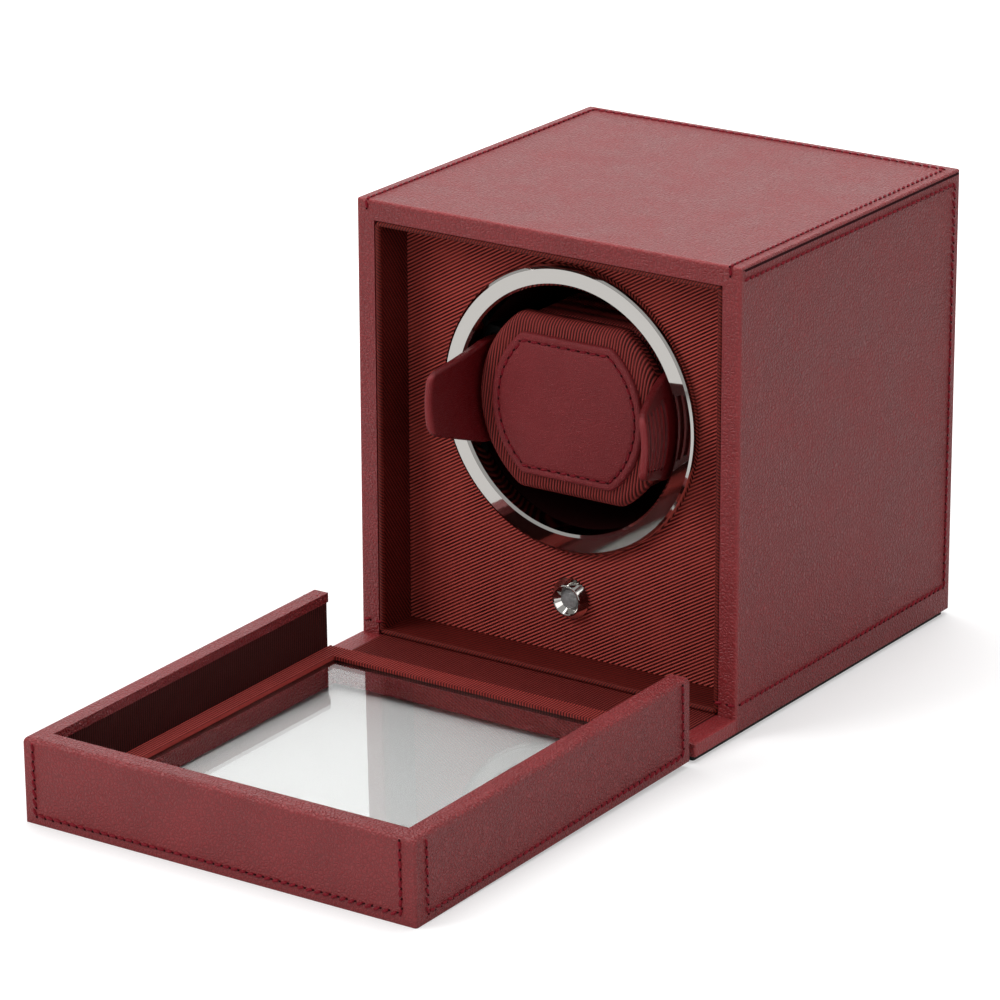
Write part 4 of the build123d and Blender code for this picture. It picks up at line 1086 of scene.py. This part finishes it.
# %% Sew the badge
thread_y = badge_front(badge_seam) - 0.1 * MM
path = [(x, thread_y, z + badge_middle) for x, z in badge_outline(badge_seam)]
sew("badge_stitches", [(path + path[:1], (0, -1, 0))], "cuff",
    Pitch=BADGE_PITCH, Width=0.8 * MM, Hole=1.2 * MM)

# %% [markdown]
# ## The rolled edge of the recess
# Where the lining meets the leather rim, its cloth is rolled round a cord. The roll is one tube, swept
# round the opening, and its ribs wind about it because the cloth was cut on the bias.


# %% Piping
def rounded_frame(half_x, low_z, high_z, radius):
    """Points round a rectangle in X and Z, closed, about 0.3 mm apart."""
    path = []
    corners = [(half_x, high_z, 0), (-half_x, high_z, 90), (-half_x, low_z, 180), (half_x, low_z, 270)]
    for x, z, start in corners:
        turn_x = x - math.copysign(radius, x)
        turn_z = z - radius if z == high_z else z + radius
        for k in range(9):
            angle = math.radians(start + 90 * k / 8)
            path.append(Vector((turn_x + radius * math.cos(angle), 0, turn_z + radius * math.sin(angle))))
    dense = []
    for a, b in zip(path, path[1:] + path[:1]):
        steps = max(1, int((b - a).length / (0.3 * MM)))
        dense += [a.lerp(b, k / steps) for k in range(steps)]
    return dense


def make_piping(path, y, radius):
    """A tube swept round a closed path, with ribs that wind about it."""
    sides, lobes, relief = 16, 3, 0.1
    points, uvs, faces = [], [], []
    run = 0.0
    count = len(path)
    for i, p in enumerate(path):
        after = path[(i + 1) % count]
        tangent = (after - path[i - 1]).normalized()
        outward = Vector((tangent.z, 0, -tangent.x))
        for k in range(sides):
            angle = 2 * math.pi * k / sides
            wind = lobes * angle + run * 2 * math.pi / RIB_PITCH
            r = radius * (1 - relief * (0.5 - 0.5 * math.cos(wind)))
            offset = outward * (r * math.cos(angle)) + Vector((0, r * math.sin(angle), 0))
            points.append(tuple(Vector((p.x, y, p.z)) + offset))
            uvs.append((run + lobes * angle * RIB_PITCH / (2 * math.pi), angle * radius))
        run += (after - p).length
        faces += band(i * sides, (i + 1) % count * sides, sides)
    piece = mesh_from_points("recess_piping", points, faces, uvs, piping_twill)
    settle(piece, "case")


liner_low, liner_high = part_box("liner_box")
pipe_radius = 0.9 * MM
pipe_inset = pipe_radius - 0.1 * MM
make_piping(rounded_frame(liner_high.x - pipe_inset, liner_low.z + pipe_inset,
                          liner_high.z - pipe_inset, 1.2 * MM), liner_low.y + 0.2 * MM, pipe_radius)

# %% [markdown]
# ## Soft parts that move
# The strip of cloth over the hinge, between the case and the door, is a thin slab in its node's place.
# The three small springs each get a mesh of their own.

# %% Hinge strip
strip_low, strip_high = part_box("hinge_twill")
work = bmesh.new()
bmesh.ops.create_grid(work, x_segments=4, y_segments=24, size=0.5)
for v in work.verts:
    across, along = v.co.x + 0.5, v.co.y + 0.5
    v.co = Vector((strip_low.x + across * (strip_high.x - strip_low.x),
                   strip_low.y + along * (strip_high.y - strip_low.y), strip_high.z))
strip = mesh_piece("hinge_strip_cloth", work, strip_cloth)
strip.modifiers.new("thickness", "SOLIDIFY").thickness = strip_high.z - strip_low.z
bake(strip)
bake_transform(strip)
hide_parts("hinge_twill")
print(strip.name, "faces:", len(strip.data.polygons))


# %% Springs
def soft_spring(node, joint, axis_name, fixed_end):
    """A spring's own copy of its node's mesh, riding on the joint's parent body."""
    i = "xyz".index(axis_name)
    low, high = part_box(node)
    anchor = (low + high) / 2
    anchor[i] = fixed_end
    piece = new_object(node + "_coil", frame["nodes"][node].data.copy())
    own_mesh(piece)
    settle(piece, joint["parent"], node)


for joint in frame["joints"]:
    for bent in joint.get("deforming_nodes", []):
        if bent["mode"].startswith("scale"):
            axis_name = bent["mode"][-1]
            soft_spring(bent["node"], joint, axis_name, bent[f"fixed_end_{axis_name}_m"])

# %% [markdown]
# ## The studio
# The object stands on pale paper that shows its shadow near by and is pure white farther off. Only the
# camera sees that white, so the paper throws no more light on the leather than real paper would. Four
# soft lamps light it: a large one overhead, one at the front left for the door and the faceplate, a
# weak one at the right, and a wide one behind, which lays a pale gloss on the top and the glass.


# %% The floor and the world
def make_floor():
    """A pale floor that keeps the object's soft shadow, and fades to white away from it."""
    material, tree, shader = new_material("studio_floor_finish", (0.66, 0.66, 0.66, 1.0), 0.9, {
        "Specular IOR Level": 0.1, "Emission Color": (1.0, 1.0, 1.0, 1.0)})
    ray = add_node(tree, "ShaderNodeLightPath").outputs
    shadow_reach, white_from, least_glow = 0.16, 1.0, 0.35
    away = vector_node(tree, "LENGTH", place(tree), output="Value")
    white = ramp_node(tree, away, shadow_reach, white_from, least_glow, 1.0)
    set_inputs(tree, shader, {"Emission Strength": product_node(tree, ray["Is Camera Ray"], white)})
    work = bmesh.new()
    bmesh.ops.create_grid(work, x_segments=1, y_segments=1, size=6.0)
    mesh_piece("studio_floor", work, material)


def make_world():
    """White where the camera sees it, also through the glass, and half as bright as a light."""
    world = bpy.data.worlds.new("studio_world")
    scene.world = world
    world.use_nodes = True
    tree = world.node_tree
    ray = add_node(tree, "ShaderNodeLightPath").outputs
    seen = math_node(tree, "MAXIMUM", ray["Is Camera Ray"], ray["Is Transmission Ray"])
    strength = math_node(tree, "MULTIPLY_ADD", seen, 0.5, 0.5)
    set_inputs(tree, tree.nodes["Background"], {"Color": (1.0, 1.0, 1.0, 1.0), "Strength": strength})


make_floor()
make_world()
print("world:", scene.world.name)


# %% The lamps
def soft_lamp(name, spot, aim_height, size, power):
    """A rectangular lamp that looks at a height on the object's own axis."""
    data = bpy.data.lights.new(name, "AREA")
    data.shape = "RECTANGLE"
    data.size, data.size_y = size
    data.energy = power
    lamp = new_object(name, data)
    lamp.location = spot
    aim = Vector((0, 0, aim_height))
    lamp.rotation_euler = (aim - Vector(spot)).to_track_quat("-Z", "Y").to_euler()
    print(name, power, "W")


soft_lamp("overhead_softbox", (-0.1, 0.15, 1.3), 0.05, (1.1, 0.9), 14.0)
soft_lamp("front_left_softbox", (-1.0, -1.25, 1.25), 0.06, (0.9, 0.9), 14.5)
soft_lamp("right_softbox", (1.25, -0.5, 0.8), 0.06, (0.7, 0.9), 2.8)
soft_lamp("back_softbox", (-1.05, 1.6, 0.9), 0.12, (3.0, 1.5), 12.0)

# %% [markdown]
# ## The camera
# The cube's straight edges say where the photographer stood: their vanishing points give the turn and
# the height of the view, and their lengths give the distance and the lens.


# %% Place the camera
def make_camera():
    """Stands where the photographer stood; the angles were solved from the cube's own edges."""
    azimuth, height = math.radians(33.524), math.radians(19.11)
    distance, lens_in_sensors = 1.57112, 5.11119
    aim = Vector((5.64 * MM, front_y, 69.94 * MM))
    away = Vector((math.sin(azimuth) * math.cos(height), -math.cos(azimuth) * math.cos(height),
                   math.sin(height)))
    data = bpy.data.cameras.new("photo_camera")
    data.sensor_width = 36.0
    data.lens = lens_in_sensors * data.sensor_width
    data.shift_x, data.shift_y = -0.060, -0.015
    data.clip_start, data.clip_end = 0.05, 30.0
    camera = new_object("photo_camera", data)
    camera.location = aim + away * distance
    camera.rotation_euler = away.to_track_quat("Z", "Y").to_euler()
    scene.camera = camera
    print("camera stands", distance, "m away")


make_camera()
scene.view_settings.view_transform = "Standard"
